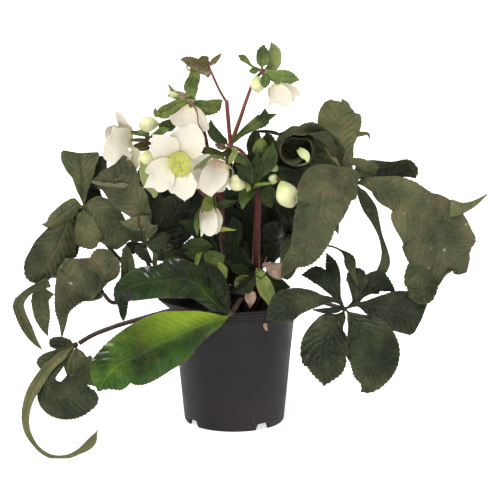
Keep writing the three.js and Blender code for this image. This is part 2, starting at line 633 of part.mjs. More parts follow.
bloom("bloom_upper", [-44, -32, 341], [
  sepal([[-54, -36, 332], [-66, -44, 318]], [2.5, 8, 10, 8, 2], [-0.6, -0.8, 0.3]),
  sepal([[-48, -46, 331], [-49, -52, 314]], [2.5, 9, 12, 11, 4], [0, -1, 0.4]),
  sepal([[-34, -38, 331], [-27, -42, 315]], [2.5, 8, 10, 8, 2], [0.7, -0.7, 0.3]),
  sepal([[-38, -26, 331], [-36, -22, 318]], [2.5, 8, 10, 8, 2], [0.3, 0.9, 0.3]),
  sepal([[-54, -27, 331], [-58, -24, 318]], [2.5, 8, 10, 8, 2], [-0.5, 0.9, 0.3]),
]);
piece("heart_upper", "heart", stamens([-46, -34, 334], [0.1, -0.2, -1], 5, 8));

bloom("bloom_left", [-103, -39, 298], [
  sepal([[-108, -42, 316], [-118, -46, 336]], [2.5, 8, 10, 8, 2], [0.8, -0.6, 0.3]),
  sepal([[-119, -52, 305], [-132, -56, 313]], [2.5, 10, 14, 13, 5], [0.4, -1, 0]),
  sepal([[-115, -52, 290], [-124, -54, 279]], [2.5, 9, 12, 10, 3], [0.4, -1, -0.2]),
  sepal([[-106, -34, 282], [-100, -34, 268]], [2.5, 8, 10, 9, 3], [0.5, -0.9, 0]),
  sepal([[-118, -30, 306], [-128, -28, 318]], [2.5, 9, 12, 10, 3], [0.5, 0.9, 0.2]),
]);
piece("heart_left", "heart", stamens([-109, -42, 299], [-1, -0.3, 0.1], 5, 8));

bloom("bloom_right", [-10, -46, 284], [
  sepal([[-20, -62, 276], [-23, -67, 252]], [2.5, 10, 13, 11, 2], [0.1, -1, 0.2]),
  sepal([[-27, -54, 281], [-40, -60, 261]], [2.5, 9, 11, 10, 3], [-0.6, -0.8, 0.3]),
  sepal([[-6, -56, 273], [-12, -60, 256]], [2.5, 8, 10, 9, 2], [0.8, -0.6, 0.2]),
  sepal([[-20, -40, 276], [-28, -42, 260]], [2.5, 9, 11, 9, 2], [-0.2, 0.9, 0.2]),
  sepal([[-8, -38, 273], [-12, -40, 258]], [2.5, 7, 9, 8, 2], [0.5, 0.8, 0.1]),
]);
piece("heart_right", "heart", stamens([-13, -47, 279], [-0.4, -0.2, -1], 5, 8));

bloom("bloom_top", [43, -30, 362], [
  sepal([[37, -34, 352], [35, -38, 339]], [2, 4, 5, 4, 1.5], [-0.5, -0.9, 0.2]),
  sepal([[48, -43, 351], [53, -47, 337]], [2, 8, 10, 9, 4], [0.1, -1, 0.3]),
  sepal([[56, -38, 357], [68, -42, 350]], [2, 7, 9, 8, 3], [0.6, -0.7, 0.6]),
  sepal([[53, -22, 353], [62, -20, 342]], [2, 7, 9, 8, 3], [0.6, 0.8, 0.3]),
  sepal([[43, -21, 351], [44, -20, 340]], [2, 7, 8, 7, 2], [-0.2, 1, 0.2]),
]);
piece("heart_top", "heart", stamens([45, -31, 356], [0.3, -0.1, -1], 5, 7));

bloom("bloom_low", [-25, -51, 240], [
  sepal([[-32, -60, 225], [-31, -62, 208]], [2, 6, 7, 6, 2], [-0.6, -0.8, 0.2]),
  sepal([[-23, -66, 225], [-23, -68, 209]], [2, 7, 8, 7, 3], [0, -1, 0.1]),
  sepal([[-15, -56, 226], [-14, -57, 213]], [2, 6, 7, 5, 2], [0.8, -0.6, 0.1]),
  sepal([[-18, -46, 225], [-19, -47, 212]], [2, 6, 7, 6, 2], [0.4, 0.9, 0]),
  sepal([[-31, -48, 225], [-29, -49, 212]], [2, 6, 7, 6, 2], [-0.5, 0.9, 0]),
]);

bud("bud_top", [24, -28, 370], [25, -31, 352], 6.4);
bud("bud_left", [-77, -40, 320], [-92, -48, 323], 7.5);
bud("bud_behind", [-86, -44, 296], [-90, -50, 276], 8);
bud("bud_centre", [15, -43, 260], [-6, -50, 264], 7.5);
bud("bud_large", [48, -50, 265], [60, -58, 239], 11);
bud("bud_small", [39, -35, 262], [41, -42, 271], 4.4);
bud("bud_green", [13, -45, 275], [9, -50, 267], 3.4);
bud("bud_side", [38, -31, 272], [41, -33, 280], 3.2);
bud("bud_crown", [-50, -30, 347], [-67, -34, 352], 3.6);

whorl("bracts_crown", [-25, -25, 381], [
  bract([[-36, -26, 382], [-46, -28, 386], [-56, -30, 385]], [2, 6, 6, 4, 1]),
  bract([[-19, -26, 386], [-12, -28, 393]], [2, 3.5, 2, 0.6]),
  bract([[-38, -28, 377], [-48, -30, 377]], [2, 5, 5, 3], [0, -1, 0.5]),
  bract([[-25, -28, 366]], [1, 3.5, 3.5, 1]),
  bract([[-41, -30, 365], [-46, -30, 350]], [2, 7, 8, 7, 5, 1], FRONT,
    { steps: 4, teeth: 0.1 }),
], "bract");

whorl("bracts_upper", [-40, -26, 351], [
  bract([[-30, -36, 337], [-20, -38, 341], [-10, -36, 349]], [2, 6, 8, 8, 5, 1],
    FRONT, { steps: 4, wave: [1.5, 2] }),
  bract([[-58, -34, 339], [-71, -38, 333], [-84, -40, 329]], [2, 6, 7, 6, 3],
    FRONT, { steps: 4 }),
  bract([[-76, -39, 331], [-79, -40, 338]], [3, 2.5, 1], FRONT, { steps: 3, apart: true }),
  bract([[-57, -30, 356], [-66, -30, 362]], [1.5, 4, 4, 1]),
  bract([[-46, -31, 356]], [1.5, 3.5, 3, 1], FRONT, { steps: 3 }),
]);

whorl("bracts_left", [-88, -35, 306], [
  bract([[-95, -36, 312], [-107, -38, 312]], [1.5, 4, 3.5, 1]),
  bract([[-96, -37, 296], [-106, -40, 294]], [1.5, 5, 5, 3]),
  bract([[-73, -34, 314], [-61, -32, 323]], [1.5, 6, 6, 1]),
  bract([[-96, -58, 277], [-95, -62, 260]], [1.5, 5, 6, 4, 1]),
  bract([[-80, -60, 276], [-78, -64, 252]], [1.5, 4, 4, 1], FRONT, { steps: 4 }),
]);

whorl("bracts_fork", [-4, -36, 298], [
  bract([[-12, -36, 307], [-21, -38, 316], [-23, -36, 325]], [2, 5, 6, 5, 1]),
  bract([[-12, -36, 297], [-21, -38, 301]], [1.5, 4, 4, 1]),
  bract([[-19, -34, 291], [-33, -34, 295]], [1.5, 4, 5, 1]),
  bract([[10, -30, 313], [20, -32, 324], [30, -32, 337]], [1.5, 4, 8, 9, 6, 1],
    FRONT, { steps: 4, teeth: 0.12 }),
  bract([[17, -32, 318], [31, -34, 327], [44, -34, 331]], [4, 5, 3, 0.8], FRONT, { apart: true }),
  bract([[15, -32, 315], [27, -35, 320], [39, -36, 324]], [4, 5, 4, 1], FRONT, { apart: true }),
  bract([[-5, -40, 286], [-7, -44, 277]], [1.5, 4, 4, 1.5]),
  bract([[5, -40, 286], [12, -46, 278]], [1.5, 5, 5, 2]),
]);

whorl("bracts_top", [29, -30, 375], [
  bract([[27, -30, 388], [31, -29, 402]], [2, 8, 9, 7, 1], FRONT, { steps: 4 }),
  bract([[41, -24, 388], [38, -22, 403]], [2, 8, 9, 7, 1], FRONT, { steps: 4 }),
  bract([[49, -30, 374], [67, -34, 367]], [2, 7, 9, 7, 1], [0, -0.8, 0.6],
    { steps: 4 }),
  bract([[17, -28, 380], [9, -30, 391]], [1, 1.5, 5, 6, 3]),
  bract([[33, -34, 356]], [1.5, 6, 6, 2]),
  bract([[15, -30, 372]], [1.5, 4, 4, 1]),
]);

whorl("bracts_stalk", [25, -34, 257], [
  bract([[27, -40, 280], [28, -44, 299], [31, -42, 315]], [2, 9, 14, 13, 2],
    FRONT, { steps: 4 }),
  bract([[17, -30, 278], [15, -32, 297], [21, -30, 314]], [2, 6, 8, 8, 1],
    FRONT, { steps: 4 }),
  bract([[35, -42, 278], [43, -48, 301]], [1.5, 6, 6, 1], FRONT, { steps: 4 }),
  bract([[49, -36, 270], [72, -36, 276]], [2, 8, 10, 6, 1], FRONT, { steps: 4 }),
  bract([[14, -34, 247], [8, -38, 232]], [1.5, 6, 6, 1]),
  bract([[37, -32, 242], [35, -36, 224]], [1.5, 7, 8, 6, 1]),
]);

whorl("bracts_low_bloom", [-19, -46, 252], [
  bract([[-37, -52, 232], [-38, -54, 210]], [1.5, 4, 4, 1]),
  bract([[-10, -54, 226], [4, -54, 217]], [1.5, 2.5, 3.5, 0.8]),
  bract([[-6, -38, 244], [10, -34, 249]], [1.5, 5, 6, 1]),
  bract([[-33, -53, 245], [-30, -57, 236]], [1.5, 4, 4, 1]),
]);

whorl("leaves_low", [24, -23, 167], [
  bract([[13, -36, 159], [-3, -44, 155]], [2, 8, 10, 7, 1], FRONT, { steps: 4 }),
  bract([[35, -40, 161], [37, -48, 150], [34, -52, 132]], [2, 8, 10, 8, 1],
    FRONT, { steps: 4 }),
  bract([[17, -36, 167], [12, -42, 164]], [2, 6, 6, 3]),
]);
whorl("dry_leaves", [29, -22, 154], [
  bract([[19, -40, 148], [18, -50, 134]], [2, 6, 7, 1]),
  bract([[38, -34, 168], [53, -38, 166]], [2, 7, 9, 6]),
], "dry");

whorl("leaves_centre", [-13, -25, 177], [
  bract([[-33, -48, 189], [-51, -54, 198]], [2, 9, 11, 8, 1], FRONT, { steps: 4 }),
  bract([[-30, -46, 197], [-46, -50, 206]], [2, 8, 9, 6, 1], FRONT, { steps: 4 }),
  bract([[-18, -50, 192], [-11, -60, 184], [-7, -64, 167]], [2, 8, 10, 9, 6, 1], FRONT,
    { steps: 4 }),
  bract([[-35, -58, 180], [-43, -64, 172]], [2, 4, 4, 0.6]),
]);

// ---- assembly --------------------------------------------------------------------

// One part as a solid, grown all round by the given amount.
function shapeOf(part, grow) {
  if (part.rib) return blade(part, grow);
  if (part.path) return stem(part, grow);
  if (part.tip) return egg(part, grow);
  return knob(part, grow);
}

function near(a, b) {
  const [p, q] = [a.boundingBox(), b.boundingBox()];
  return [0, 1, 2].every((k) => p.min[k] < q.max[k] && q.min[k] < p.max[k]);
}

const group = new THREE.Group();

function add(name, colour, shape) {
  const mesh = shape.getMesh();
  const geometry = new THREE.BufferGeometry();
  geometry.setAttribute("position", new THREE.BufferAttribute(mesh.vertProperties, 3));
  geometry.setIndex(new THREE.BufferAttribute(mesh.triVerts, 1));
  const node = new THREE.Mesh(geometry, new THREE.MeshStandardMaterial(COLOURS[colour]));
  node.name = name;
  group.add(node);
}

const pot = potShape();
add("pot", "pot", pot);

const placed = [];
for (const { name, colour, parts } of pieces) {
  let shape = join(parts.map((part) => shapeOf(part, 0)));
  for (const other of placed) {
    if (near(shape, other.clear)) shape = shape.subtract(other.clear);
  }
  shape = oneBody(shape.simplify(0.15));
  const clear = join(parts.map((part) => shapeOf(part, SEAT)));
  placed.push({ name, clear });
  add(name, colour, shape);
}

let soil = soilShape();
for (const { clear } of placed) {
  if (near(soil, clear)) soil = soil.subtract(clear);
}
add("soil", "soil", oneBody(soil));

// The part's frame stands at the centre of its box, on the surface it rests on.
const box = new THREE.Box3().setFromObject(group);
group.position.set(-(box.min.x + box.max.x) / 2, -(box.min.y + box.max.y) / 2, -box.min.z);

export default group;
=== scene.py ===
"""The looks of a potted hellebore: fine blades, sepals, stamens, stems, pot and compost in place of
the plain solids, with their finishes, on a pale floor. Shapes are set out in millimetres from the
pot's axis at the floor, the front being -Y, and are written to the meshes in metres."""
import math
import random

import bmesh
import bpy
from mathutils import Matrix, Vector, noise


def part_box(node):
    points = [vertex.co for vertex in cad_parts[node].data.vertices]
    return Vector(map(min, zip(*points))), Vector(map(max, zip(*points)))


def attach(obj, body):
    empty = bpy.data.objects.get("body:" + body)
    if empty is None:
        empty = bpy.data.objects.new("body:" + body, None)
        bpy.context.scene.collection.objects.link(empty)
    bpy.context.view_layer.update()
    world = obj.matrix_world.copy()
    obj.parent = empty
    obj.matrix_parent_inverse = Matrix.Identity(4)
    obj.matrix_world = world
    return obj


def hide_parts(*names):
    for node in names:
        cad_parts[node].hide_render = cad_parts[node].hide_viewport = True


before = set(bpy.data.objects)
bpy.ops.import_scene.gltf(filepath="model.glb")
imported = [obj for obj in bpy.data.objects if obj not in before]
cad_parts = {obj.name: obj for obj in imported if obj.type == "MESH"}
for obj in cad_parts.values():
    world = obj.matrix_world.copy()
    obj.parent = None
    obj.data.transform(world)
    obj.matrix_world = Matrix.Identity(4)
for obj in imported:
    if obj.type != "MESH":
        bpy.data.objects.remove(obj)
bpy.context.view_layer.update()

soil_low, soil_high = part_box("soil")
AXIS = Vector(((soil_low.x + soil_high.x) / 2, (soil_low.y + soil_high.y) / 2, 0))
SETTLE = Matrix.Translation(AXIS) @ Matrix.Scale(0.001, 4)

POT_HEIGHT = 131
POT_TOP_RADIUS = 64.3
POT_BASE_RADIUS = 52.9
POT_WALL = 2
FOOT_HEIGHT = 8
LIP_BAND = 13
LIP_PUSH = 15
SOIL_LEVEL = 119
SOIL_FALL = 0.00135
NOTCH_TURN = 35
NOTCH_HALF = 7.4
NECK = 1.2
VEIN_GAP = 7.5
FRONT = (0, -1, 0.25)
ROUND = 2 * math.pi


# ---- lines and runs of numbers -------------------------------------------------------------


def clamp(x, low, high):
    return min(max(x, low), high)


def smooth(low, high, x):
    t = clamp((x - low) / (high - low), 0, 1)
    return t * t * (3 - 2 * t)


def mix(a, b, t):
    return a + (b - a) * t


def along(values, u):
    """Value of a smooth run of numbers, evenly spaced from 0 to 1."""
    if len(values) == 1:
        return values[0]
    place = u * (len(values) - 1)
    i = min(int(place), len(values) - 2)
    f = place - i
    p0, p1, p2, p3 = (values[clamp(i + k, 0, len(values) - 1)] for k in (-1, 0, 1, 2))
    bend = (2 * p0 - 5 * p1 + 4 * p2 - p3) * f + (3 * (p1 - p2) + p3 - p0) * f * f
    return 0.5 * (2 * p1 + (p2 - p0) * f + bend * f)


def heading(spec, u):
    """A direction given once, or the direction at u of a list of them from base to tip."""
    ways = spec if isinstance(spec, list) else [spec]
    return Vector([along([way[k] for way in ways], u) for k in range(3)])


def upright(way, go):
    """The part of a direction that is square to another, one long."""
    return (way - go * way.dot(go)).normalized()


class Line:
    """A smooth line through points, measured by its length."""

    def __init__(self, points):
        through = [Vector(p) for p in points]
        through = [2 * through[0] - through[1], *through, 2 * through[-1] - through[-2]]
        self.dots = []
        for i in range(len(through) - 3):
            self.dots += [self.bend(through[i : i + 4], s / 40) for s in range(40)]
        self.dots.append(through[-2])
        self.run = [0.0]
        for a, b in zip(self.dots, self.dots[1:]):
            self.run.append(self.run[-1] + (b - a).length)
        self.length = self.run[-1]

    @staticmethod
    def bend(four, t):
        p0, p1, p2, p3 = four
        d0, d1, d2 = (max((b - a).length ** 0.5, 1e-4) for a, b in zip(four, four[1:]))
        go = ((p1 - p0) / d0 - (p2 - p0) / (d0 + d1) + (p2 - p1) / d1) * d1
        come = ((p2 - p1) / d1 - (p3 - p1) / (d1 + d2) + (p3 - p2) / d2) * d1
        rest = (3 * (p2 - p1) - 2 * go - come) * t * t + (2 * (p1 - p2) + go + come) * t**3
        return p1 + go * t + rest

    def at(self, u):
        want = clamp(u, 0, 1) * self.length
        low, high = 0, len(self.run) - 1
        while high - low > 1:
            middle = (low + high) // 2
            low, high = (middle, high) if self.run[middle] <= want else (low, middle)
        share = (want - self.run[low]) / max(self.run[high] - self.run[low], 1e-9)
        return self.dots[low].lerp(self.dots[high], share)

    def ahead(self, u, reach=0.012):
        return (self.at(u + reach) - self.at(u - reach)).normalized()


# ---- finishes ------------------------------------------------------------------------------


def shade(code):
    """A colour written as a six-figure code, as linear light."""
    parts = [int(code[k : k + 2], 16) / 255 for k in (0, 2, 4)]
    return (*(c / 12.92 if c <= 0.04045 else ((c + 0.055) / 1.055) ** 2.4 for c in parts), 1.0)


class Value:
    """One socket, for writing its sums as plain expressions."""

    def __init__(self, graph, socket):
        self.graph, self.socket = graph, socket

    def sum(self, operation, *others, first=None):
        inputs = dict(enumerate([self if first is None else first, *others]))
        return self.graph.add("ShaderNodeMath", {"operation": operation}, inputs)

    def __add__(self, other):
        return self.sum("ADD", other)

    def __sub__(self, other):
        return self.sum("SUBTRACT", other)

    def __rsub__(self, other):
        return self.sum("SUBTRACT", self, first=other)

    def __mul__(self, other):
        return self.sum("MULTIPLY", other)

    def __truediv__(self, other):
        return self.sum("DIVIDE", other)

    __radd__ = __add__
    __rmul__ = __mul__

    def size(self):
        return self.sum("ABSOLUTE")

    def fraction(self):
        return self.sum("FRACT")

    def most(self, other):
        return self.sum("MAXIMUM", other)

    def rise(self, low, high, start=0.0, end=1.0, kind="SMOOTHSTEP"):
        """From start to end as the value goes from low to high."""
        inputs = {"Value": self, "From Min": low, "From Max": high, "To Min": start, "To Max": end}
        return self.graph.add("ShaderNodeMapRange", {"interpolation_type": kind}, inputs)


class Graph:
    """A tree of nodes, laid out as expressions."""

    def __init__(self, owner, last):
        owner.use_nodes = True
        self.nodes, self.links = owner.node_tree.nodes, owner.node_tree.links
        self.last = self.nodes[last]

    def add(self, kind, settings=None, inputs=None, output=0):
        node = self.nodes.new(kind)
        for key, value in (settings or {}).items():
            setattr(node, key, value)
        for key, value in (inputs or {}).items():
            self.put(node.inputs[key], value)
        return Value(self, node.outputs[output])

    def put(self, socket, value):
        if isinstance(value, Value):
            self.links.new(value.socket, socket)
        else:
            socket.default_value = value

    def wear(self, **sockets):
        """Sets or links sockets of the last shader, their names written with underscores."""
        for socket, value in sockets.items():
            self.put(self.last.inputs[socket.replace("_", " ")], value)

    def parts(self, whole):
        """The three parts of a vector."""
        x = self.add("ShaderNodeSeparateXYZ", None, {0: whole})
        return [Value(self, socket) for socket in x.socket.node.outputs]


class Finish(Graph):
    """A procedural material."""

    def __init__(self, name, **fixed):
        self.material = bpy.data.materials.new(name)
        super().__init__(self.material, "Principled BSDF")
        self.wear(**fixed)
        self.here = self.add("ShaderNodeTexCoord", output="Object")

    def marks(self, name):
        """The three parts of a mark that the mesh carries at each corner."""
        return self.parts(self.add("ShaderNodeAttribute", {"attribute_name": name}, output="Vector"))

    def point(self, x, y, z):
        return self.add("ShaderNodeCombineXYZ", None, {0: x, 1: y, 2: z})

    def clouds(self, size, detail=3.0, rough=0.5, stretch=None):
        """Soft noise around 0.5, its patches about size metres across."""
        where = self.here
        if stretch:
            scaled = {0: where, 1: stretch}
            where = self.add("ShaderNodeVectorMath", {"operation": "MULTIPLY"}, scaled)
        inputs = {"Vector": where, "Scale": 1 / size, "Detail": detail, "Roughness": rough}
        return self.add("ShaderNodeTexNoise", None, inputs, output="Fac")

    def cells(self, size, feature="DISTANCE_TO_EDGE", at=None, output="Distance"):
        inputs = {"Vector": at or self.here, "Scale": 1 / size}
        return self.add("ShaderNodeTexVoronoi", {"feature": feature}, inputs, output=output)

    def blend(self, share, first, second):
        return self.add("ShaderNodeMix", {"data_type": "RGBA"}, {0: share, 6: first, 7: second}, 2)

    def relief(self, height, depth, strength=1.0):
        inputs = {"Height": height, "Distance": depth, "Strength": strength}
        self.wear(Normal=self.add("ShaderNodeBump", None, inputs))

    def done(self, **sockets):
        self.wear(**sockets)
        return self.material


def leaf_finish(name, deep, pale, other, vein, rough, gloss, bloom, worn_and_shaded=0, painted_highlight=None, under=False,
                **coat):
    """Leathery blade: deep to pale over its tone, which is partly painted shade, veins, a fine
    network, grey bloom as painted sheen, rubbed pale spots, painted shade darkening the rubbed
    blades towards the tip, and, on glossy blades, a painted yellow-green highlight near the base.
    """
    f = Finish(name, Specular_IOR_Level=gloss, Specular_Tint=(0.9, 1.0, 0.75, 1), **coat)
    across, ahead, edge = f.marks("sheet")
    draw, run, tone = f.marks("kind")
    drift = f.clouds(0.006, 2.0) - 0.5
    rung = f.add("ShaderNodeAttribute", {"attribute_name": "rung"}, output="Fac") + drift * 0.12
    gap = (rung.fraction() - 0.5).size() * VEIN_GAP
    rib = 1 - across.size().rise(0.25, 1.1)
    side = (1 - gap.rise(0.08, 0.55)) * edge.rise(0.02, 0.12) * (1 - edge.rise(0.78, 1.0))
    flat = f.point(across + drift * 0.96, ahead, draw * 50)
    mesh = 1 - f.cells(2.1, at=flat).rise(0.0, 0.16)
    small = 1 - f.cells(0.75, at=flat).rise(0.0, 0.2)
    broad, fine = f.clouds(0.03, 3.0) - 0.5, f.clouds(0.0028, 4.0, 0.6) - 0.5
    # The tone each blade is given is partly its own colour and partly painted shade: blades lying in
    # shade deep in the plant get low tones.
    share = (tone + broad * 1.1 + fine * 0.35).rise(0.0, 1.0)
    # Painted shade: on these blades the colour also darkens towards the tip.
    if worn_and_shaded:
        share = share * (1 - run * 0.32)
    turn = (f.clouds(0.021, 2.0) + (tone - 0.5) * 0.16).rise(0.42, 0.6)
    colour = f.blend(share, shade(deep), f.blend(turn, shade(other), shade(pale)))
    shown = share * 0.85 + 0.12
    lines = (side * 0.12).most(rib * 0.42).most(mesh * 0.04) * shown
    colour = f.blend(lines, colour, shade(vein))
    # Grey bloom patches stand for the leaf's soft bluish-grey sheen: painted sheen.
    dust_and_sheen = f.clouds(0.012, 5.0, 0.65).rise(0.42, 0.8) * bloom * shown
    colour = f.blend(dust_and_sheen, colour, shade("a9aa93"))
    margin = edge.rise(0.93, 1.0) * f.clouds(0.008).rise(0.45, 0.62) * 0.35
    colour = f.blend(margin, colour, shade("8a6b45"))
    # Painted highlight: yellow-green light shining through the paler glossy blades near the base,
    # along one edge.
    if painted_highlight:
        lit = (1 - run.rise(0.1, 0.8)) * across.rise(-6.0, 14.0) * tone.rise(0.27, 0.35)
        colour = f.blend(lit * 0.75, colour, shade(painted_highlight))
    if worn_and_shaded:
        patch = f.clouds(0.009, 6.0, 0.72).rise(0.63, 0.7) * worn_and_shaded
        colour = f.blend(patch, colour, shade("c9bd9f"))
    ridges = side * 0.8 + rib * 0.9 + mesh * 0.38 + small * 0.16
    swell = broad * 3.0 + (f.clouds(0.011, 2.0) - 0.5) * 4.5 + fine * 0.35
    f.relief(swell + ridges * (1.0 if under else -1.0), 0.00042)
    sheen = fine * 0.22 + dust_and_sheen * 0.35 + broad * 0.12 + mesh * 0.06
    return f.done(Base_Color=colour, Roughness=sheen + rough)


def stem_finish(name, low, high, flush, level, spread, gloss=0.28):
    """Stems that pass from one colour low down to another higher up, streaked along and dotted."""
    f = Finish(name, Specular_IOR_Level=gloss)
    height = f.parts(f.here)[2]
    streak = f.clouds(0.0016, 3.0, stretch=(1.0, 1.0, 0.12))
    patch = f.clouds(0.014, 3.0) - 0.5
    share = (height + patch * 0.09).rise(level - spread, level + spread)
    colour = f.blend(share, shade(low), shade(high))
    colour = f.blend(streak.rise(0.45, 0.75) * 0.6, colour, shade(flush))
    dots = 1 - f.cells(0.0011, "F1").rise(0.12, 0.3)
    colour = f.blend(dots * 0.3, colour, shade(flush))
    f.relief((streak - 0.5) * 0.8 + patch, 0.0003)
    return f.done(Base_Color=colour, Roughness=streak.rise(0.3, 0.8, 0.38, 0.62))


def petal_finish(name, pale, warm, flush, vein):
    """Waxy sepal: ivory with a creamy base, a flush towards the base or rim and fine veins."""
    f = Finish(name, Specular_IOR_Level=0.35, Subsurface_Weight=0.22, Sheen_Weight=0.12,
               Subsurface_Radius=(0.9, 0.75, 0.5), Subsurface_Scale=0.0025)
    across, ahead, _ = f.marks("sheet")
    draw, run, tone = f.marks("kind")
    fan = across / (run + 0.35) + (f.clouds(0.005, 2.0) - 0.5) * 1.1 + draw * 20
    thread = 1 - ((fan / 1.7).fraction() - 0.5).size().rise(0.03, 0.17)
    cross = 1 - f.cells(1.6, at=f.point(across, ahead * 0.55, draw * 40)).rise(0.0, 0.13)
    broad = f.clouds(0.012, 3.0)
    colour = f.blend((1 - run.rise(0.05, 0.6)) * 0.85, shade(pale), shade(warm))
    touch = (broad - 0.35).rise(0.0, 0.4) * tone * 0.35
    colour = f.blend(touch, colour, shade(flush))
    foot = (1 - run.rise(0.14, 0.5)) * tone.rise(0.5, 1.0) * broad.rise(0.3, 0.6, 0.5, 1.0)
    colour = f.blend(foot, colour, shade("94533c"))
    lines = (thread * 0.26 + cross * 0.10) * (1 - run.rise(0.35, 1.0) * 0.6)
    colour = f.blend(lines, colour, shade(vein))
    f.relief(thread * 0.5 + cross * 0.2 + (broad - 0.5) * 0.8, 0.00022, 0.8)
    return f.done(Base_Color=colour, Roughness=broad.rise(0.3, 0.8, 0.42, 0.58))


def bud_finish():
    f = Finish("waxy bud", Specular_IOR_Level=0.4, Subsurface_Weight=0.2,
               Subsurface_Radius=(0.8, 0.8, 0.4), Subsurface_Scale=0.002)
    across, _, edge = f.marks("sheet")
    draw, run, tone = f.marks("kind")
    broad = f.clouds(0.006, 3.0)
    fan = across * (1 + edge) + (broad - 0.5) * 1.4 + draw * 20
    thread = 1 - ((fan / 1.3).fraction() - 0.5).size().rise(0.03, 0.2)
    colour = f.blend((1 - run.rise(0.0, 0.55)) * 0.75, shade("e2e2ac"), shade("a8b862"))
    colour = f.blend(tone.rise(0.25, 1.0) * 0.85, colour, shade("87a558"))
    colour = f.blend(thread * 0.16, colour, shade("b3b87c"))
    colour = f.blend(edge.rise(0.86, 1.0) * 0.35, colour, shade("e8e5cf"))
    f.relief(thread * 0.4 + (broad - 0.5), 0.0002)
    return f.done(Base_Color=colour, Roughness=broad.rise(0.3, 0.8, 0.36, 0.55))


def stamen_finish():
    f = Finish("stamens", Specular_IOR_Level=0.25, Subsurface_Weight=0.1, Subsurface_Scale=0.001)
    _, run, tone = f.marks("kind")
    grain = f.clouds(0.0005, 2.0)
    colour = f.blend(tone, shade("eae8a0"), shade("ccd250"))
    colour = f.blend(run.rise(0.7, 0.9) * 0.8, colour, shade("c2ca38"))
    colour = f.blend(grain.rise(0.5, 0.8) * 0.3, colour, shade("a89a3a"))
    f.relief(grain, 0.0001)
    return f.done(Base_Color=colour, Roughness=grain.rise(0.2, 0.9, 0.5, 0.75))


def pot_finish():
    """Moulded black plastic, dulled by fine grey powder that gathers low down and on the ridges."""
    f = Finish("moulded plastic", Specular_IOR_Level=0.22)
    height = f.parts(f.here)[2]
    cloud = f.clouds(0.02, 5.0, 0.62)
    specks = 1 - f.cells(0.0032, "F1").rise(0.05, 0.16)
    specks = specks * f.clouds(0.011, 3.0).rise(0.5, 0.66)
    scuffs = f.clouds(0.0035, 4.0, 0.7, stretch=(1.0, 1.0, 0.25)).rise(0.62, 0.74)
    low, high = 1 - height.rise(0.004, 0.07), height.rise(0.108, 0.13)
    dust_and_sheen = cloud.rise(0.35, 0.8) * 0.14 + low * 0.12 + high * 0.03
    colour = f.blend(dust_and_sheen, shade("171314"), shade("4b4240"))
    colour = f.blend(specks * (0.25 + low * 0.75), colour, shade("8d847a"))
    colour = f.blend(scuffs * 0.1, colour, shade("6f6864"))
    grain = f.clouds(0.0006, 3.0, 0.6) - 0.5
    f.relief(grain * 0.6 + specks * 0.4 + (cloud - 0.5) * 0.2, 0.0002)
    return f.done(Base_Color=colour, Roughness=cloud.rise(0.2, 0.85, 0.46, 0.66) + dust_and_sheen * 0.2)


def compost_finish():
    f = Finish("compost", Specular_IOR_Level=0.2)
    lump = f.clouds(0.006, 5.0, 0.7)
    crumb = f.cells(0.0026, "F1", output="Color")
    tint = f.add("ShaderNodeSeparateColor", None, {0: crumb})
    colour = f.blend(lump.rise(0.3, 0.7), shade("070504"), shade("1c140e"))
    colour = f.blend(tint.rise(0.75, 0.95) * 0.5, colour, shade("43321f"))
    f.relief(f.cells(0.0026).rise(0.0, 0.25) * 0.7 + lump, 0.0012)
    return f.done(Base_Color=colour, Roughness=lump.rise(0.2, 0.8, 0.8, 1.0))


def dry_finish():
    f = Finish("withered leaf", Specular_IOR_Level=0.2)
    rib = 1 - f.marks("sheet")[0].size().rise(0.2, 0.9)
    crinkle = f.clouds(0.004, 5.0, 0.65)
    colour = f.blend(f.clouds(0.012, 3.0).rise(0.3, 0.7), shade("6f584a"), shade("a08878"))
    colour = f.blend(crinkle.rise(0.5, 0.75) * 0.6, colour, shade("7c5d44"))
    colour = f.blend(rib * 0.5, colour, shade("8e6a4d"))
    f.relief(crinkle + rib * 0.5, 0.0008)
    return f.done(Base_Color=colour, Roughness=crinkle.rise(0.2, 0.8, 0.7, 0.95))


LEAF = leaf_finish("dark leaf", "0a1203", "676340", "555c38", "5b5f38", 0.3, 0.34, 0.08)
LEAF_BACK = leaf_finish("dark leaf back", "222612", "6d664f", "5d6044", "63623f", 0.52, 0.2, 0.1,
                        under=True)
WORN_AND_SHADED = leaf_finish("worn leaf", "0d1407", "6d6644", "595e3b", "61613f", 0.33, 0.34, 0.12, worn_and_shaded=0.75)
GLOSSY = leaf_finish("glossy leaf", "071001", "62801c", "3a6a10", "84a040", 0.3, 0.22, 0.02,
                     painted_highlight="9cb828", Coat_Weight=0.24, Coat_Roughness=0.15)
GLOSSY_BACK = leaf_finish("glossy leaf back", "35441f", "6f8249", "5d7a44", "849458", 0.42, 0.3,
                          0.06, under=True)
BRACT = leaf_finish("bract", "0d1803", "86934a", "61793c", "869150", 0.34, 0.28, 0.04)
BRACT_BACK = leaf_finish("bract back", "35421c", "8b935a", "76885a", "989964", 0.5, 0.22, 0.08,
                         under=True)
BRONZE = leaf_finish("bronzed bract", "2c2110", "a08c70", "6a6434", "8d7a55", 0.36, 0.28, 0.08)
PETIOLE = stem_finish("leaf stalk", "35201a", "4d4529", "20120d", 0.19, 0.09)
STALK = stem_finish("flower stalk", "481f14", "7e4a42", "54281f", 0.27, 0.1, 0.16)
SEPAL = petal_finish("ivory sepal", "d8d3c3", "d8d2a6", "d6a898", "c4b890")
BUD = bud_finish()
STAMEN = stamen_finish()
POT = pot_finish()
COMPOST = compost_finish()
DRY = dry_finish()


# ---- making the pieces ---------------------------------------------------------------------


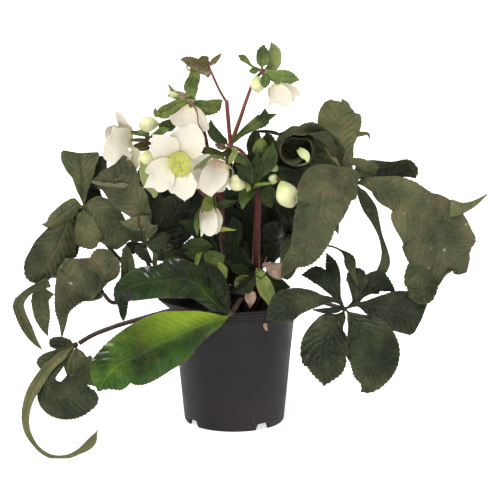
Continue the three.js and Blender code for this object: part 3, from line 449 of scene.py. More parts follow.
class Growth:
    """One piece in the making, in millimetres: blades, stems and swellings in one mesh. Each
    corner carries its place on its blade (sheet: across, ahead, share of the way to the edge),
    a draw, its share of the length and a tone (kind), and its place among the side veins (rung)."""

    def __init__(self, name):
        self.name = name
        self.draw = random.Random(name)
        self.bm = bmesh.new()
        vectors, numbers = self.bm.verts.layers.float_vector, self.bm.verts.layers.float
        for mark in ("sheet", "kind", "out"):
            vectors.new(mark)
        numbers.new("rung")
        self.sheet, self.kind, self.out = (vectors[mark] for mark in ("sheet", "kind", "out"))
        self.rung = numbers["rung"]

    def cloth(self, rows, cols, place, finish=0):
        """A grid whose corners go to place(row, share of the way across from -1 to 1)."""
        made = bmesh.ops.create_grid(self.bm, x_segments=cols, y_segments=rows, size=1)["verts"]
        for vert in made:
            row = round((vert.co.y + 1) / 2 * rows)
            vert.co, vert[self.sheet], vert[self.kind], vert[self.rung] = place(row, vert.co.x)
        faces = {face for vert in made for face in vert.link_faces}
        for face in faces:
            face.material_index = finish
        return made, faces

    def thicken(self, made, faces, thick, under):
        """Gives a thin sheet its thickness; its under side takes the finish numbered under."""
        for face in faces:
            face.normal_update()
        for vert in made:
            vert.normal_update()
            vert[self.out] = vert.normal
        whole = bmesh.ops.extrude_face_region(self.bm, geom=list(faces), use_keep_orig=True)
        for vert in whole["geom"]:
            if isinstance(vert, bmesh.types.BMVert):
                vert.co += vert[self.out] * thick / 2
        for vert in made:
            vert.co -= vert[self.out] * thick / 2
        for face in faces:
            face.material_index = under
            face.normal_flip()

    # A low tone stands partly for a blade's own deep colour and partly for painted shade; some dark
    # blades deep in the plant stand only for the shade in gaps between the leaves.
    def blade(self, rib, half, across=None, face=FRONT, fold=0, bow=0.0, wave=None, neck=0.0,
              thick=0.5, teeth=0.85, pitch=3.2, ruffle=1.6, rungs=VEIN_GAP, quilt=0.5, tone=0.4,
              lobes=0.0, blunt=None, coat=(0, 1), square=2.2, fray=0.0):
        """A thin blade along its midrib. fold lifts its halves, bow bends its edges down, ruffle
        waves them, quilt swells it between side veins rungs apart, fray tears its end."""
        line = Line(rib)
        length = line.length
        share = neck / length
        rows = clamp(2 * round(length / pitch), 16, 110)
        cols = clamp(2 * round(max(half) / 1.7), 6, 26)
        draw = self.draw.random()
        far = draw * 90
        last = half[-1]
        wide_end = last > 4
        close = (last if blunt is None else blunt) * (1.0 if wide_end else 1.6) / length
        close = clamp(close, 0.05, 0.35)
        lift = math.radians(fold)
        spine, side, up, width = [], [], [], []
        for i in range(rows + 1):
            u = i / rows
            go = line.ahead(u)
            reach = upright(heading(across, u) if across else go.cross(Vector(face)), go)
            spine.append(line.at(u))
            side.append(reach)
            up.append(reach.cross(go))
            full = max(along(half, u), 0.4)
            if share:
                full = mix(NECK * 0.8, full, smooth(share * 0.5, share + 0.07, u))
            tip = clamp((u - 1 + close) / close, 0, 1)
            full *= math.sqrt(max(1 - tip**square, 0.0004)) if wide_end else 1 - 0.93 * tip**1.6
            full *= 1 + lobes * noise.noise((u * 5 + far, 3.1, far))
            width.append(full)

        def place(i, t):
            u = i / rows
            v = math.copysign(abs(t) ** 1.2, t)
            reach = abs(v) * width[i]
            body = smooth(2, 9, width[i])
            slide = 0.0
            if abs(t) > 0.999 and teeth:
                jag = 0.7 + 0.9 * noise.noise((i * 0.4, t, far))
                bite = teeth * smooth(1.0, 6, width[i]) * jag
                reach += 0.6 * bite if i % 2 else -0.4 * bite
                slide = 0.55 * pitch * (0.5 if i % 2 else 0)
            drift = noise.noise((reach * 0.06, u * length * 0.06, far))
            rung = (u * length - 0.95 * reach + 2.4 * drift) / rungs
            rise = reach * math.sin(lift) - bow * width[i] * v * v
            if wave:
                rise += wave[0] * abs(v) * math.sin(ROUND * wave[1] * u + (2 if v > 0 else 0))
            soft = noise.noise((u * length / 17, 4 * math.copysign(1, v), far))
            crisp = noise.noise((u * length / 7, reach / 9, far + 7))
            rise += ruffle * body * (soft * abs(v) ** 1.5 * 1.6 + crisp * 0.5 * abs(v))
            rise += quilt * body * math.cos(ROUND * rung) * 3.4 * abs(v) * (1.1 - abs(v))
            rise -= 0.5 * body * math.exp(-((reach / 1.3) ** 2)) if quilt else 0
            spot = spine[i] + side[i] * math.copysign(reach * math.cos(lift), v) + up[i] * rise
            if fray:
                torn = noise.noise((t * 2.6, far, 5)) + 0.5 * noise.noise((t * 7, far, 8))
                slide += fray * 3 * torn * smooth(0.45, 1, u)
            if slide:
                spot += up[i].cross(side[i]) * slide
            sheet = (math.copysign(reach, v), u * length, abs(t))
            return spot, sheet, (draw, u, tone), rung

        made, faces = self.cloth(rows, cols, place, coat[0])
        self.thicken(made, faces, thick, coat[1])

    def stem(self, path, radii, stop=0.0, sides=12, tone=0.5, step=2.6):
        """A round stem, a little uneven, through points; it ends stop short of the last one."""
        line = Line(path)
        end = 1 - stop / line.length
        rows = max(4, round(line.length * end / step)) + 2
        draw = self.draw.random()
        first = line.ahead(0).orthogonal().normalized()
        frames = []
        for i in range(rows + 1):
            u = end * clamp((i - 1) / (rows - 2), 0, 1)
            go = line.ahead(u)
            first = upright(first, go)
            frames.append((u, line.at(u), first, go.cross(first)))

        def place(i, v):
            u, centre, out, over = frames[i]
            turn = math.pi * (v + 1)
            size = along(radii, u / end) if 0 < i < rows else 0
            lump = noise.noise(centre * 0.09 + Vector((math.cos(turn), math.sin(turn), draw * 40)))
            size *= 1 + 0.12 * lump
            spot = centre + (out * math.cos(turn) + over * math.sin(turn)) * size
            return spot, (turn * size, u * line.length, 0), (draw, u, tone), 0

        self.seal(*self.cloth(rows, sides, place))

    def seal(self, made, faces):
        bmesh.ops.remove_doubles(self.bm, verts=made, dist=0.0005)
        left = [face for face in faces if face.is_valid]
        bmesh.ops.recalc_face_normals(self.bm, faces=left)

    def knob(self, at, radius, finish, tone=0.5):
        """A small uneven swelling where blades meet their stem."""
        ball = bmesh.ops.create_icosphere(self.bm, subdivisions=2, radius=radius)["verts"]
        draw = self.draw.random()
        for vert in ball:
            vert.co *= 1 + 0.3 * noise.noise(vert.co * 0.5 + Vector((draw * 30, 0, 0)))
            vert.co += Vector(at)
            vert[self.kind] = (draw, 0.5, tone)
        for face in {face for vert in ball for face in vert.link_faces}:
            face.material_index = finish

    def done(self, node, slot, *finishes):
        """Writes the piece in the row frame, in place of its CAD node."""
        bmesh.ops.transform(self.bm, matrix=SETTLE, verts=self.bm.verts[:])
        self.bm.normal_update()
        for face in self.bm.faces:
            face.smooth = True
        for edge in self.bm.edges:
            edge.smooth = len(edge.link_faces) == 2 and edge.calc_face_angle(0) < 1.0
        mesh = bpy.data.meshes.new(node + "_fine")
        self.bm.to_mesh(mesh)
        self.bm.free()
        for finish in finishes:
            mesh.materials.append(finish)
        piece = bpy.data.objects.new(node + "_fine", mesh)
        bpy.context.scene.collection.objects.link(piece)
        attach(piece, "root")
        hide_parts(node)
        return piece


def stem(path, radii, **more):
    return dict(path=path, radii=radii, **more)


def blade(rib, half, across=None, **more):
    """One blade that grows from the hub: the points of its midrib, its half widths from base to
    tip, evenly spaced, and the direction across it, as one vector or a list of them."""
    return dict(rib=rib, half=half, across=across, **more)


def patch(rib, half, across=None, **more):
    """A blade that doesn't grow from the hub but lies on another one or stands behind it."""
    return blade(rib, half, across, apart=True, **more)


def spread(growth, hub, radius, blades, knob=2, **habit):
    """A knob with the blades that spread from it and the patches among them."""
    growth.knob(hub, radius * 0.7, finish=knob)
    for shape in blades:
        shape = {**habit, **shape}
        if not shape.pop("apart", False):
            shape.update(rib=[hub, *shape["rib"]], neck=radius + 1)
        growth.blade(**shape)


def petiole(name, path, radii=(3, 2.7, 2.4)):
    growth = Growth(name)
    growth.stem(path, radii, stop=2.6)
    growth.done(name, "petiole", PETIOLE)


def stalk(name, stems):
    growth = Growth(name)
    for shape in stems:
        growth.stem(**shape)
    growth.done(name, "stalk", STALK)


def leaf(name, hub, leaflets, finishes=(LEAF, LEAF_BACK, PETIOLE), slot="leaf"):
    growth = Growth(name)
    spread(growth, hub, 4, leaflets)
    growth.done(name, slot, *finishes)


def bloom(name, hub, sepals):
    growth = Growth(name)
    spread(growth, hub, 3.5, sepals, knob=0, teeth=0, pitch=2.6, ruffle=1.1, quilt=0, tone=0.25,
           lobes=0.07, bow=-0.2)
    growth.done(name, "sepal", SEPAL, SEPAL, STALK)


def whorl(name, hub, bracts, finishes=(BRACT, BRACT_BACK, STALK, BRONZE, SEPAL), slot="bract"):
    growth = Growth(name)
    spread(growth, hub, 4, bracts, fold=12, teeth=0.9, pitch=2.6, ruffle=0.9, quilt=0.22, rungs=4.6,
           thick=0.45)
    growth.done(name, slot, *finishes)


def bud(name, base, tip, radius, tone=0.2):
    """A closed bud: an egg in four overlapping sepals."""
    growth = Growth(name)
    line = Line([base, tip])
    go = line.ahead(0.5)
    first = go.orthogonal().normalized()
    over = go.cross(first)

    def skin(u, turn, out):
        fat = math.sin(math.pi * min(u, 0.999) ** 1.2) ** 0.72
        way = first * math.cos(turn) + over * math.sin(turn)
        return line.at(u) + way * (radius * fat + out)

    def core(i, v):
        u = i / 14
        inset = -0.5 if 0 < i < 14 else 0
        return skin(u, math.pi * (v + 1), inset), (v * 8, u * 9, 0), (0, u, tone), 0

    growth.seal(*growth.cloth(14, 20, core))
    turned = growth.draw.random() * ROUND
    for k in range(4):
        middle = turned + k * ROUND / 4 * 1.02
        draw = growth.draw.random()

        def petal(i, v):
            u = 0.03 + 0.965 * i / 18
            spanned = 1.15 * math.sin(math.pi * min(u, 0.98) ** 0.8) ** 0.35
            out = 0.35 + 0.0525 * v * radius + 0.12 * noise.noise((u * 4, v * 2, draw * 50))
            spot = skin(u, middle + v * spanned + 0.35 * u, out * smooth(0, 0.15, u))
            return spot, (v * radius * 1.3, u * line.length, abs(v)), (draw, u, tone), 0

        growth.thicken(*growth.cloth(18, 12, petal), 0.35, 0)
    growth.done(name, "bud", BUD)


def heart(name, centre, way, count, length, wide=0.95):
    """Stamens round the pale styles of a bloom, over a ring of green nectaries."""
    growth = Growth(name)
    centre = Vector(centre)
    axis = Vector(way).normalized()
    first = axis.cross(Vector((0, 0, 1)) if abs(axis.z) < 0.9 else Vector((0, 1, 0))).normalized()
    second = axis.cross(first)

    def around(turn):
        return first * math.cos(turn) + second * math.sin(turn)

    growth.knob(centre, 2.6, finish=0, tone=0.6)
    for k in range(count):
        opened = 1.15 * wide * (0.35 + 0.65 * math.sqrt((k + 0.5) / count))
        reach = length * (0.82 + 0.25 * growth.draw.random())
        out = around(ROUND * k * 0.381966)
        rise = axis * math.cos(opened) + out * math.sin(opened)
        root = centre + out * 1.8 + axis * 0.6
        tip = root + rise * reach
        middle = root.lerp(tip, 0.55) + axis * 0.1 * reach
        growth.stem([root, middle, tip], [0.26, 0.2], sides=4, tone=0.35, step=4)
        lean = (rise + out * 0.4 * growth.draw.random()).normalized()
        growth.stem([tip - lean * 0.9, tip + lean * 0.3, tip + lean * 1.6], [0.3, 0.6, 0.3], sides=5,
                    tone=0.7 + 0.3 * growth.draw.random(), step=0.8)
    for k in range(10):
        out = around(ROUND * k / 10)
        root = centre + out * 2.4
        growth.stem([root, root + out * 1.6 + axis * 1.4, root + out * 2.3 + axis * 3],
                    [0.5, 1, 0.85], sides=7, tone=1, step=1)
    for k in range(4):
        out = around(ROUND * k / 4 + 0.4)
        growth.stem([centre + out * 0.7, centre + out * 1.1 + axis * length * 0.5,
                     centre + out * 2 + axis * length * 0.85], [0.75, 0.6, 0.3], sides=7,
                    tone=0.25, step=1.4)
    growth.done(name, "stamen", STAMEN)


def turned(profile, steps):
    """A profile of (radius, height) turned once about the pot's axis."""
    bm = bmesh.new()
    chain = [bm.verts.new((r, 0, z)) for r, z in profile]
    edges = [bm.edges.new(pair) for pair in zip(chain, chain[1:])]
    bmesh.ops.spin(bm, geom=[*chain, *edges], cent=(0, 0, 0), axis=(0, 0, 1), angle=ROUND,
                   steps=steps, use_merge=True)
    bmesh.ops.remove_doubles(bm, verts=bm.verts[:], dist=0.001)
    bmesh.ops.recalc_face_normals(bm, faces=bm.faces[:])
    return bm


def wall_radius(z):
    return mix(POT_BASE_RADIUS, POT_TOP_RADIUS, z / (POT_HEIGHT - LIP_BAND))


def pot_profile():
    """Foot ring, tapered wall, lip with three ridges, rolled rim, and back down the inside."""
    base, rim, top, band = POT_BASE_RADIUS, POT_TOP_RADIUS, POT_HEIGHT, POT_HEIGHT - LIP_BAND
    foot = [(-5, FOOT_HEIGHT), (-4, FOOT_HEIGHT - 1), (-3.2, 0.3), (-2.9, 0), (-1.1, 0), (-0.6, 0.4)]
    ridge = [(0.1, -0.5), (0.35, 0), (0.45, 0.35), (0.4, 0.7), (0.12, 1.4), (0.1, 2)]
    edge = [(1.1, -1.5), (1.4, -1), (1.2, -0.3), (0.5, 0), (-0.4, -0.1), (-1.4, -0.9)]
    return [
        (0, FOOT_HEIGHT),
        *((base + r, z) for r, z in foot),
        *((wall_radius(z), z) for z in (2, 7, 7.6, 20, 40, 60, 80, 100, 110, band - 1.2)),
        (wall_radius(band) + 0.25, band - 0.3),
        (wall_radius(band) + 0.3, band + 0.9),
        *((rim + r, band + start + h) for start in (2.4, 5.8, 9.2) for r, h in ridge),
        *((rim + r, top + h) for r, h in edge),
        *((wall_radius(z) - POT_WALL, z) for z in (band, 100, 60, FOOT_HEIGHT + 4)),
        (base - 5, FOOT_HEIGHT + 3),
        (0, FOOT_HEIGHT + 3),
    ]


def pot():
    """Thin tapered pot: notched foot ring, three fine ridges on a lip that is pushed out."""
    growth = Growth("pot")
    growth.bm.free()
    growth.bm = turned(pot_profile(), 180)
    for vert in growth.bm.verts:
        x, y, z = vert.co
        radius = math.hypot(x, y)
        if radius < 1:
            continue
        turn = math.degrees(math.atan2(y, x)) % 90
        nearest = min((turn - NOTCH_TURN) % 90, (NOTCH_TURN - turn) % 90)
        if z < 7 and radius > POT_BASE_RADIUS - 4.5 and nearest < NOTCH_HALF:
            vert.co.z = max(z, 6.8 - 0.6 * smooth(5.5, NOTCH_HALF, nearest))
        near = max(0, 1 - abs(math.atan2(y, -x) - 0.1) / 0.85)
        push = LIP_PUSH * smooth(POT_HEIGHT - LIP_BAND - 1, POT_HEIGHT, z) * smooth(0, 1, near)
        dent = 0.5 * noise.noise((x * 0.03, y * 0.03, z * 0.02)) * smooth(20, 110, z)
        vert.co.x *= 1 + (push + dent) / radius
        vert.co.y *= 1 + (push + dent) / radius
    growth.done("pot", "pot", POT)


def swell(x, y):
    """Height of the compost's lumps above its even surface."""
    return 1.1 * (math.sin(x * 0.19 + 1) * math.cos(y * 0.23) + 0.6 * math.sin(x * 0.4 - y * 0.31))


def compost():
    """Lumpy compost with crumbs and bits of bark on it."""
    inside = POT_WALL + 0.4
    low = FOOT_HEIGHT + 3.4
    crest = SOIL_LEVEL + 1
    top = [(0.5 + 2.1 * k, crest - SOIL_FALL * (2.1 * k) ** 2) for k in range(28)]
    rim = wall_radius(SOIL_LEVEL - 4) - inside
    profile = [(0, crest), *[p for p in top if p[0] < rim - 1], (rim, SOIL_LEVEL - 4),
               (wall_radius(60) - inside, 60), (wall_radius(low) - inside, low), (0, low)]
    growth = Growth("soil")
    growth.bm.free()
    growth.bm = bm = turned(profile, 150)
    for vert in bm.verts:
        if vert.co.z > SOIL_LEVEL - 8:
            x, y = vert.co.x, vert.co.y
            rough = 1.6 * noise.noise((x * 0.16, y * 0.16, 3))
            rough += 0.9 * noise.noise((x * 0.5, y * 0.5, 9))
            vert.co.z += swell(x, y) + rough
    draw = growth.draw
    for _ in range(260):
        far, turn = 56 * math.sqrt(draw.random()), ROUND * draw.random()
        x, y = far * math.cos(turn), far * math.sin(turn)
        size = mix(0.8, 2.6, draw.random() ** 2)
        bit = bmesh.ops.create_icosphere(bm, subdivisions=1, radius=size)["verts"]
        wide, flat = mix(0.6, 2.2, draw.random()), mix(0.35, 0.8, draw.random())
        squash = Matrix.Diagonal((wide, 0.9, flat, 1))
        spin = Matrix.Rotation(ROUND * draw.random(), 4, "Z")
        tilt = Matrix.Rotation(draw.random() - 0.5, 4, "Y")
        height = crest + 0.2 - SOIL_FALL * far * far + swell(x, y)
        move = Matrix.Translation((x, y, height)) @ spin @ tilt @ squash
        for vert in bit:
            vert.co = move @ (vert.co * (1 + 0.4 * noise.noise(vert.co * 0.8 + Vector((x, y, 0)))))
    growth.done("soil", "soil", COMPOST)


# ---- the plant -----------------------------------------------------------------------------

pot()
compost()

# Stalks, with the pedicels that fork from them, and petioles.
stalk("stalk_left", [
  stem([(-4, 2, 108), (-8, -8, 134), (-8, -20, 174), (-12, -28, 208), (-12, -30, 247),
    (-7, -28, 281), (-3, -28, 298)], [3.8, 3.6, 3, 2.6]),
  stem([(-3, -28, 298), (-5, -26, 319), (-7, -26, 344)], [2.3, 2]),
  stem([(-7, -26, 342), (-14, -26, 354), (-25, -24, 378)], [1.4, 1.2]),
  stem([(-3, -28, 298), (7, -24, 326), (15, -22, 349), (21, -22, 364), (29, -24, 373)],
    [2.4, 2, 1.6]),
  stem([(29, -24, 373), (36, -28, 367), (43, -30, 363)], [1.2, 1.1], stop=1.8),
  stem([(-12, -30, 236), (-22, -16, 271), (-31, -18, 313), (-41, -28, 346)], [2.2, 1.8]),
  stem([(-12, -29, 226), (-40, -16, 255), (-71, -18, 287), (-88, -28, 301), (-103, -36, 298)],
    [2.2, 1.9, 1.6]),
  stem([(-3, -28, 297), (7, -34, 294), (13, -38, 287), (15, -40, 274), (16, -41, 261)], [1.8, 1.6]),
  stem([(-12, -30, 242), (-19, -40, 251), (-25, -50, 243)], [1.6, 1.4]),
  stem([(-8, -28, 278), (-10, -46, 284)], [1.5, 1.4]),
  stem([(-30, -18, 305), (-43, -44, 292), (-52, -68, 286)], [1.6, 1.5]),
])

stalk("stalk_right", [
  stem([(20, 4, 108), (23, -6, 134), (23, -14, 165), (24, -20, 208), (25, -24, 235),
    (25, -26, 256)], [4.6, 4.2, 3.8, 3.2]),
  stem([(25, -26, 254), (29, -28, 262), (39, -40, 266), (48, -50, 266)], [1.8, 1.5]),
  stem([(29, -28, 262), (39, -35, 262)], [1.4, 1.3], stop=0.5),
  stem([(27, -28, 260), (38, -31, 272)], [1.3, 1.1], stop=0.5),
])

petiole("petiole_a", [(-6, -12, 108), (-8, -34, 133), (-14, -61, 138), (-34, -75, 134),
  (-63, -79, 136), (-88, -81, 130), (-119, -82, 121), (-144, -83, 111), (-159, -84, 102)])
petiole("petiole_b", [(8, -16, 108), (8, -40, 138), (4, -62, 139), (-2, -73, 132)], [2.6, 2.4])
petiole("petiole_c",
  [(20, -14, 108), (30, -20, 136), (60, -45, 144), (85, -60, 142), (113, -74, 137)], [2.8, 2.2])
petiole("petiole_d", [(12, 8, 108), (24, 10, 150), (45, 10, 200), (85, 0, 238), (126, -22, 258)])
petiole("petiole_e", [(-18, -6, 108), (-30, -12, 134), (-61, -28, 148), (-83, -31, 164),
  (-90, -34, 182), (-92, -36, 198)], [2.8, 2.3])
petiole("petiole_f", [(-14, 12, 108), (-32, 12, 140), (-78, -2, 152), (-111, -10, 168),
  (-131, -14, 190), (-149, -20, 221), (-155, -24, 233)], [2.8, 2.2])
petiole("petiole_g", [(-24, 4, 108), (-38, -4, 138), (-77, -24, 141), (-109, -44, 140),
  (-125, -50, 138), (-135, -51, 149)], [2.6, 2.1])
petiole("petiole_h", [(4, 18, 108), (12, 22, 132), (24, 26, 158)], [2.6, 2.3])
petiole("petiole_i", [(-16, 24, 108), (-24, 38, 146), (-44, 56, 188)], [2.6, 2.2])
petiole("petiole_j", [(22, 26, 108), (34, 40, 146), (58, 56, 188)], [2.6, 2.2])

# Large leaves, each named with the hub that its leaflets spread from.
leaf("leaf_a", (-160, -84, 102), [
  blade([(-173, -95, 94), (-187, -102, 82), (-196, -110, 70), (-204, -122, 56), (-207, -130, 41),
    (-205, -136, 27), (-198, -140, 15), (-190, -142, 7), (-180, -142, 2), (-166, -142, 2),
    (-154, -138, 6), (-143, -132, 13), (-135, -128, 26)],
    [2, 4.6, 4.8, 5.7, 6, 5, 4.2, 3.4, 2.3, 2.2, 2.1, 3.1, 4.9, 0.6],
    [(-0.3, 0, 0.9), (-1, 0, 0.2), (-0.4, 0, -0.9), (0.3, 0, -1)], fold=12, ruffle=0.8, teeth=0.4,
    tone=0.85),
  blade([(-173, -96, 85), (-185, -106, 73), (-183, -114, 64), (-171, -120, 58), (-156, -122, 57),
    (-143, -122, 58), (-136, -122, 61)], [2, 1.6, 3.8, 8, 21, 23, 19, 7],
    [(-0.8, 0, 0.6), (-0.9, 0, 0), (-0.7, 0, -0.7), (-0.4, 0, -0.9)], bow=0.1, tone=0.25),
  blade([(-159, -88, 95), (-158, -92, 86), (-150, -94, 77), (-142, -94, 67), (-136, -94, 61)],
    [2, 9, 16, 14, 8, 0.6], [(-0.9, 0, -0.3), (-1, 0, -0.3), (-0.9, 0, -0.4), (-0.9, 0, -0.4)],
    fold=12, tone=0.5),
  blade([(-178, -92, 93), (-189, -94, 87), (-197, -94, 81)], [2, 5, 8, 8],
    [(0.1, 0, 1), (0.1, 0, 1), (-0.1, 0, 1)], tone=0.5),
  blade([(-170, -78, 101), (-182, -78, 102), (-188, -78, 102)], [2, 5.6, 7, 4.7],
    [(0.2, 0, 1), (0.2, 0, 1), (0, 0, 1)], bow=0.3, tone=0.4),
])

leaf("leaf_b", (-2, -74, 132), [
  blade([(-10, -78, 128), (-23, -88, 126), (-39, -98, 123), (-57, -108, 117), (-75, -118, 111),
    (-94, -126, 102), (-113, -132, 95), (-124, -136, 84), (-130, -138, 76), (-133, -138, 68)],
    [2, 7, 14, 20, 27, 29, 30, 29, 23, 20, 3.7], [(0.2, 0.2, 1), (-0.2, 0.2, 1), (-0.3, 0.2, 1),
    (-0.3, 0.2, 0.9), (-0.3, 0.2, 0.9), (-0.4, 0.2, 0.9), (-0.5, 0.2, 0.8)], bow=0.12, wave=(2, 3),
    quilt=0.6, tone=0.36),
  blade([(-13, -76, 138), (-26, -78, 151), (-38, -80, 164), (-56, -80, 170), (-78, -76, 166),
    (-96, -70, 162), (-113, -66, 151), (-113, -62, 136), (-113, -60, 121)],
    [2, 7, 12, 18, 20, 17, 17, 13, 5.6, 3.4],
    [(-0.2, 0.3, 1), (0.1, 0.3, 1), (0.1, 0.3, 1), (-0.9, -0.3, -0.3)], bow=0.15, quilt=0.3,
    tone=0.12),
  blade([(-6, -72, 138), (-12, -70, 152), (-19, -68, 163), (-28, -66, 175), (-33, -64, 183)],
    [2, 5.1, 9, 12, 11, 4.7], [(0.8, 0, 0.6), (0.9, 0, 0.3), (1, 0, 0.1), (1, 0, -0.2)], bow=0.1,
    tone=0),
], (GLOSSY, GLOSSY_BACK, PETIOLE), "young_leaf")

leaf("leaf_c", (113, -75, 137), [
  patch([(127, -60, 158), (121, -52, 173), (117, -48, 186), (103, -44, 195), (87, -40, 196)],
    [1, 3, 6, 1.5, 1, 1], tone=0.31),
  blade([(107, -78, 145), (98, -80, 148), (87, -83, 148), (77, -87, 149), (64, -90, 148),
    (53, -93, 144), (42, -95, 137), (33, -96, 131)], [2, 2.2, 3.8, 8, 12, 15, 17, 11, 0.6],
    [(-0.2, 0, 1), (0.1, 0, 1), (-0.3, 0, 1), (-0.4, 0, 0.9)], bow=0.1, tone=0.17),
  blade([(103, -80, 137), (90, -82, 137), (80, -82, 138)], [2, 3.1, 2.7, 0.6], (0, 0, 1),
    tone=0.14),
  blade([(106, -66, 146), (96, -60, 158), (86, -56, 168), (69, -54, 168)], [2, 2.9, 6, 9, 0.6],
    [(0.9, 0, 0.4), (1, 0, 0.3), (0.8, 0, 0.6)], tone=0.1),
  blade([(108, -66, 146), (104, -60, 158), (102, -54, 170), (99, -50, 181), (95, -48, 190)],
    [2, 2, 5.2, 7, 6, 0.6], [(0.9, 0, 0.5), (0.9, 0, 0.4), (1, 0, 0.1), (1, 0, 0)], tone=0.07),
  blade([(123, -66, 142), (125, -58, 153), (126, -52, 164), (120, -48, 172)], [2, 2.4, 5.8, 11, 10],
    [(0.9, 0, -0.4), (0.9, 0, -0.4), (1, 0, -0.2), (1, 0, -0.2)], tone=0.07),
  blade([(126, -64, 142), (131, -58, 149), (138, -52, 156), (150, -48, 159), (159, -46, 154),
    (167, -46, 148)], [2, 1.5, 3.7, 9, 12, 7, 0.6],
    [(0.7, 0, -0.7), (0.8, 0, -0.6), (0.5, 0, -0.8), (0.7, 0, -0.7)], tone=0.04),
  blade([(126, -72, 141), (139, -66, 137), (154, -60, 133), (169, -54, 130), (182, -51, 126),
    (194, -50, 121)], [2, 2.6, 9, 16, 21, 22, 21],
    [(0, 0, -1), (-0.1, 0, -1), (-0.2, 0, -1), (-0.2, 0, -1), (-0.3, 0, -1), (-0.2, 0, -1)],
    bow=0.08, tone=0.11, blunt=1.5),
  blade([(121, -84, 131), (131, -94, 121), (139, -100, 106), (141, -104, 92), (138, -108, 76),
    (134, -111, 65), (128, -112, 60)], [2, 8, 19, 25, 27, 23, 15, 0.6],
    [(-1, 0, -0.1), (-1, 0, -0.2), (-1, 0, -0.2), (-1, 0, -0.1)], bow=0.1, ruffle=2, tone=0.22),
  blade([(109, -86, 132), (100, -94, 126), (94, -102, 111), (91, -107, 99), (93, -111, 89),
    (92, -114, 75), (91, -115, 67)], [2, 5.7, 15, 22, 24, 22, 15, 0.6],
    [(-0.9, 0, 0.4), (-1, 0, 0.2), (-1, 0, 0.2), (-1, 0, 0)], bow=0.1, ruffle=2, tone=0.19),
])


def rolled():
    """A leaflet whose end turns back into a roll of nearly two turns, tighter after the first."""
    rib = [(119, -26, 267), (115, -34, 284), (107, -40, 301), (97, -46, 313)]
    across = [(0.7, 0.7, 0.1), (0.7, 0.7, 0.2), (0.6, 0.8, 0.3), (0.4, 0.9, 0.2)]
    for k in range(21):
        turns = 32 * k / 360
        angle = math.radians(66 + 32 * k)
        if turns < 0.95:
            centre, radius, tilt = (63.5, -46, 297.5), 18.3 - 0.6 * turns, 0.34
        else:
            centre, radius, tilt = (62, -43, 296), 14.5 - 5 * (turns - 0.95), 0.4
        x, z = math.cos(angle), math.sin(angle)
        rib.append((round(centre[0] + radius * x), centre[1], round(centre[2] + radius * z)))
        across.append((-tilt * x, 0.9, -tilt * z))
    return blade(rib, [2, 7, 9, 9, 10, 10, 10, 10, 9, 8, 8, 7], across, ruffle=0.5, teeth=0.4,
                 tone=0.42)


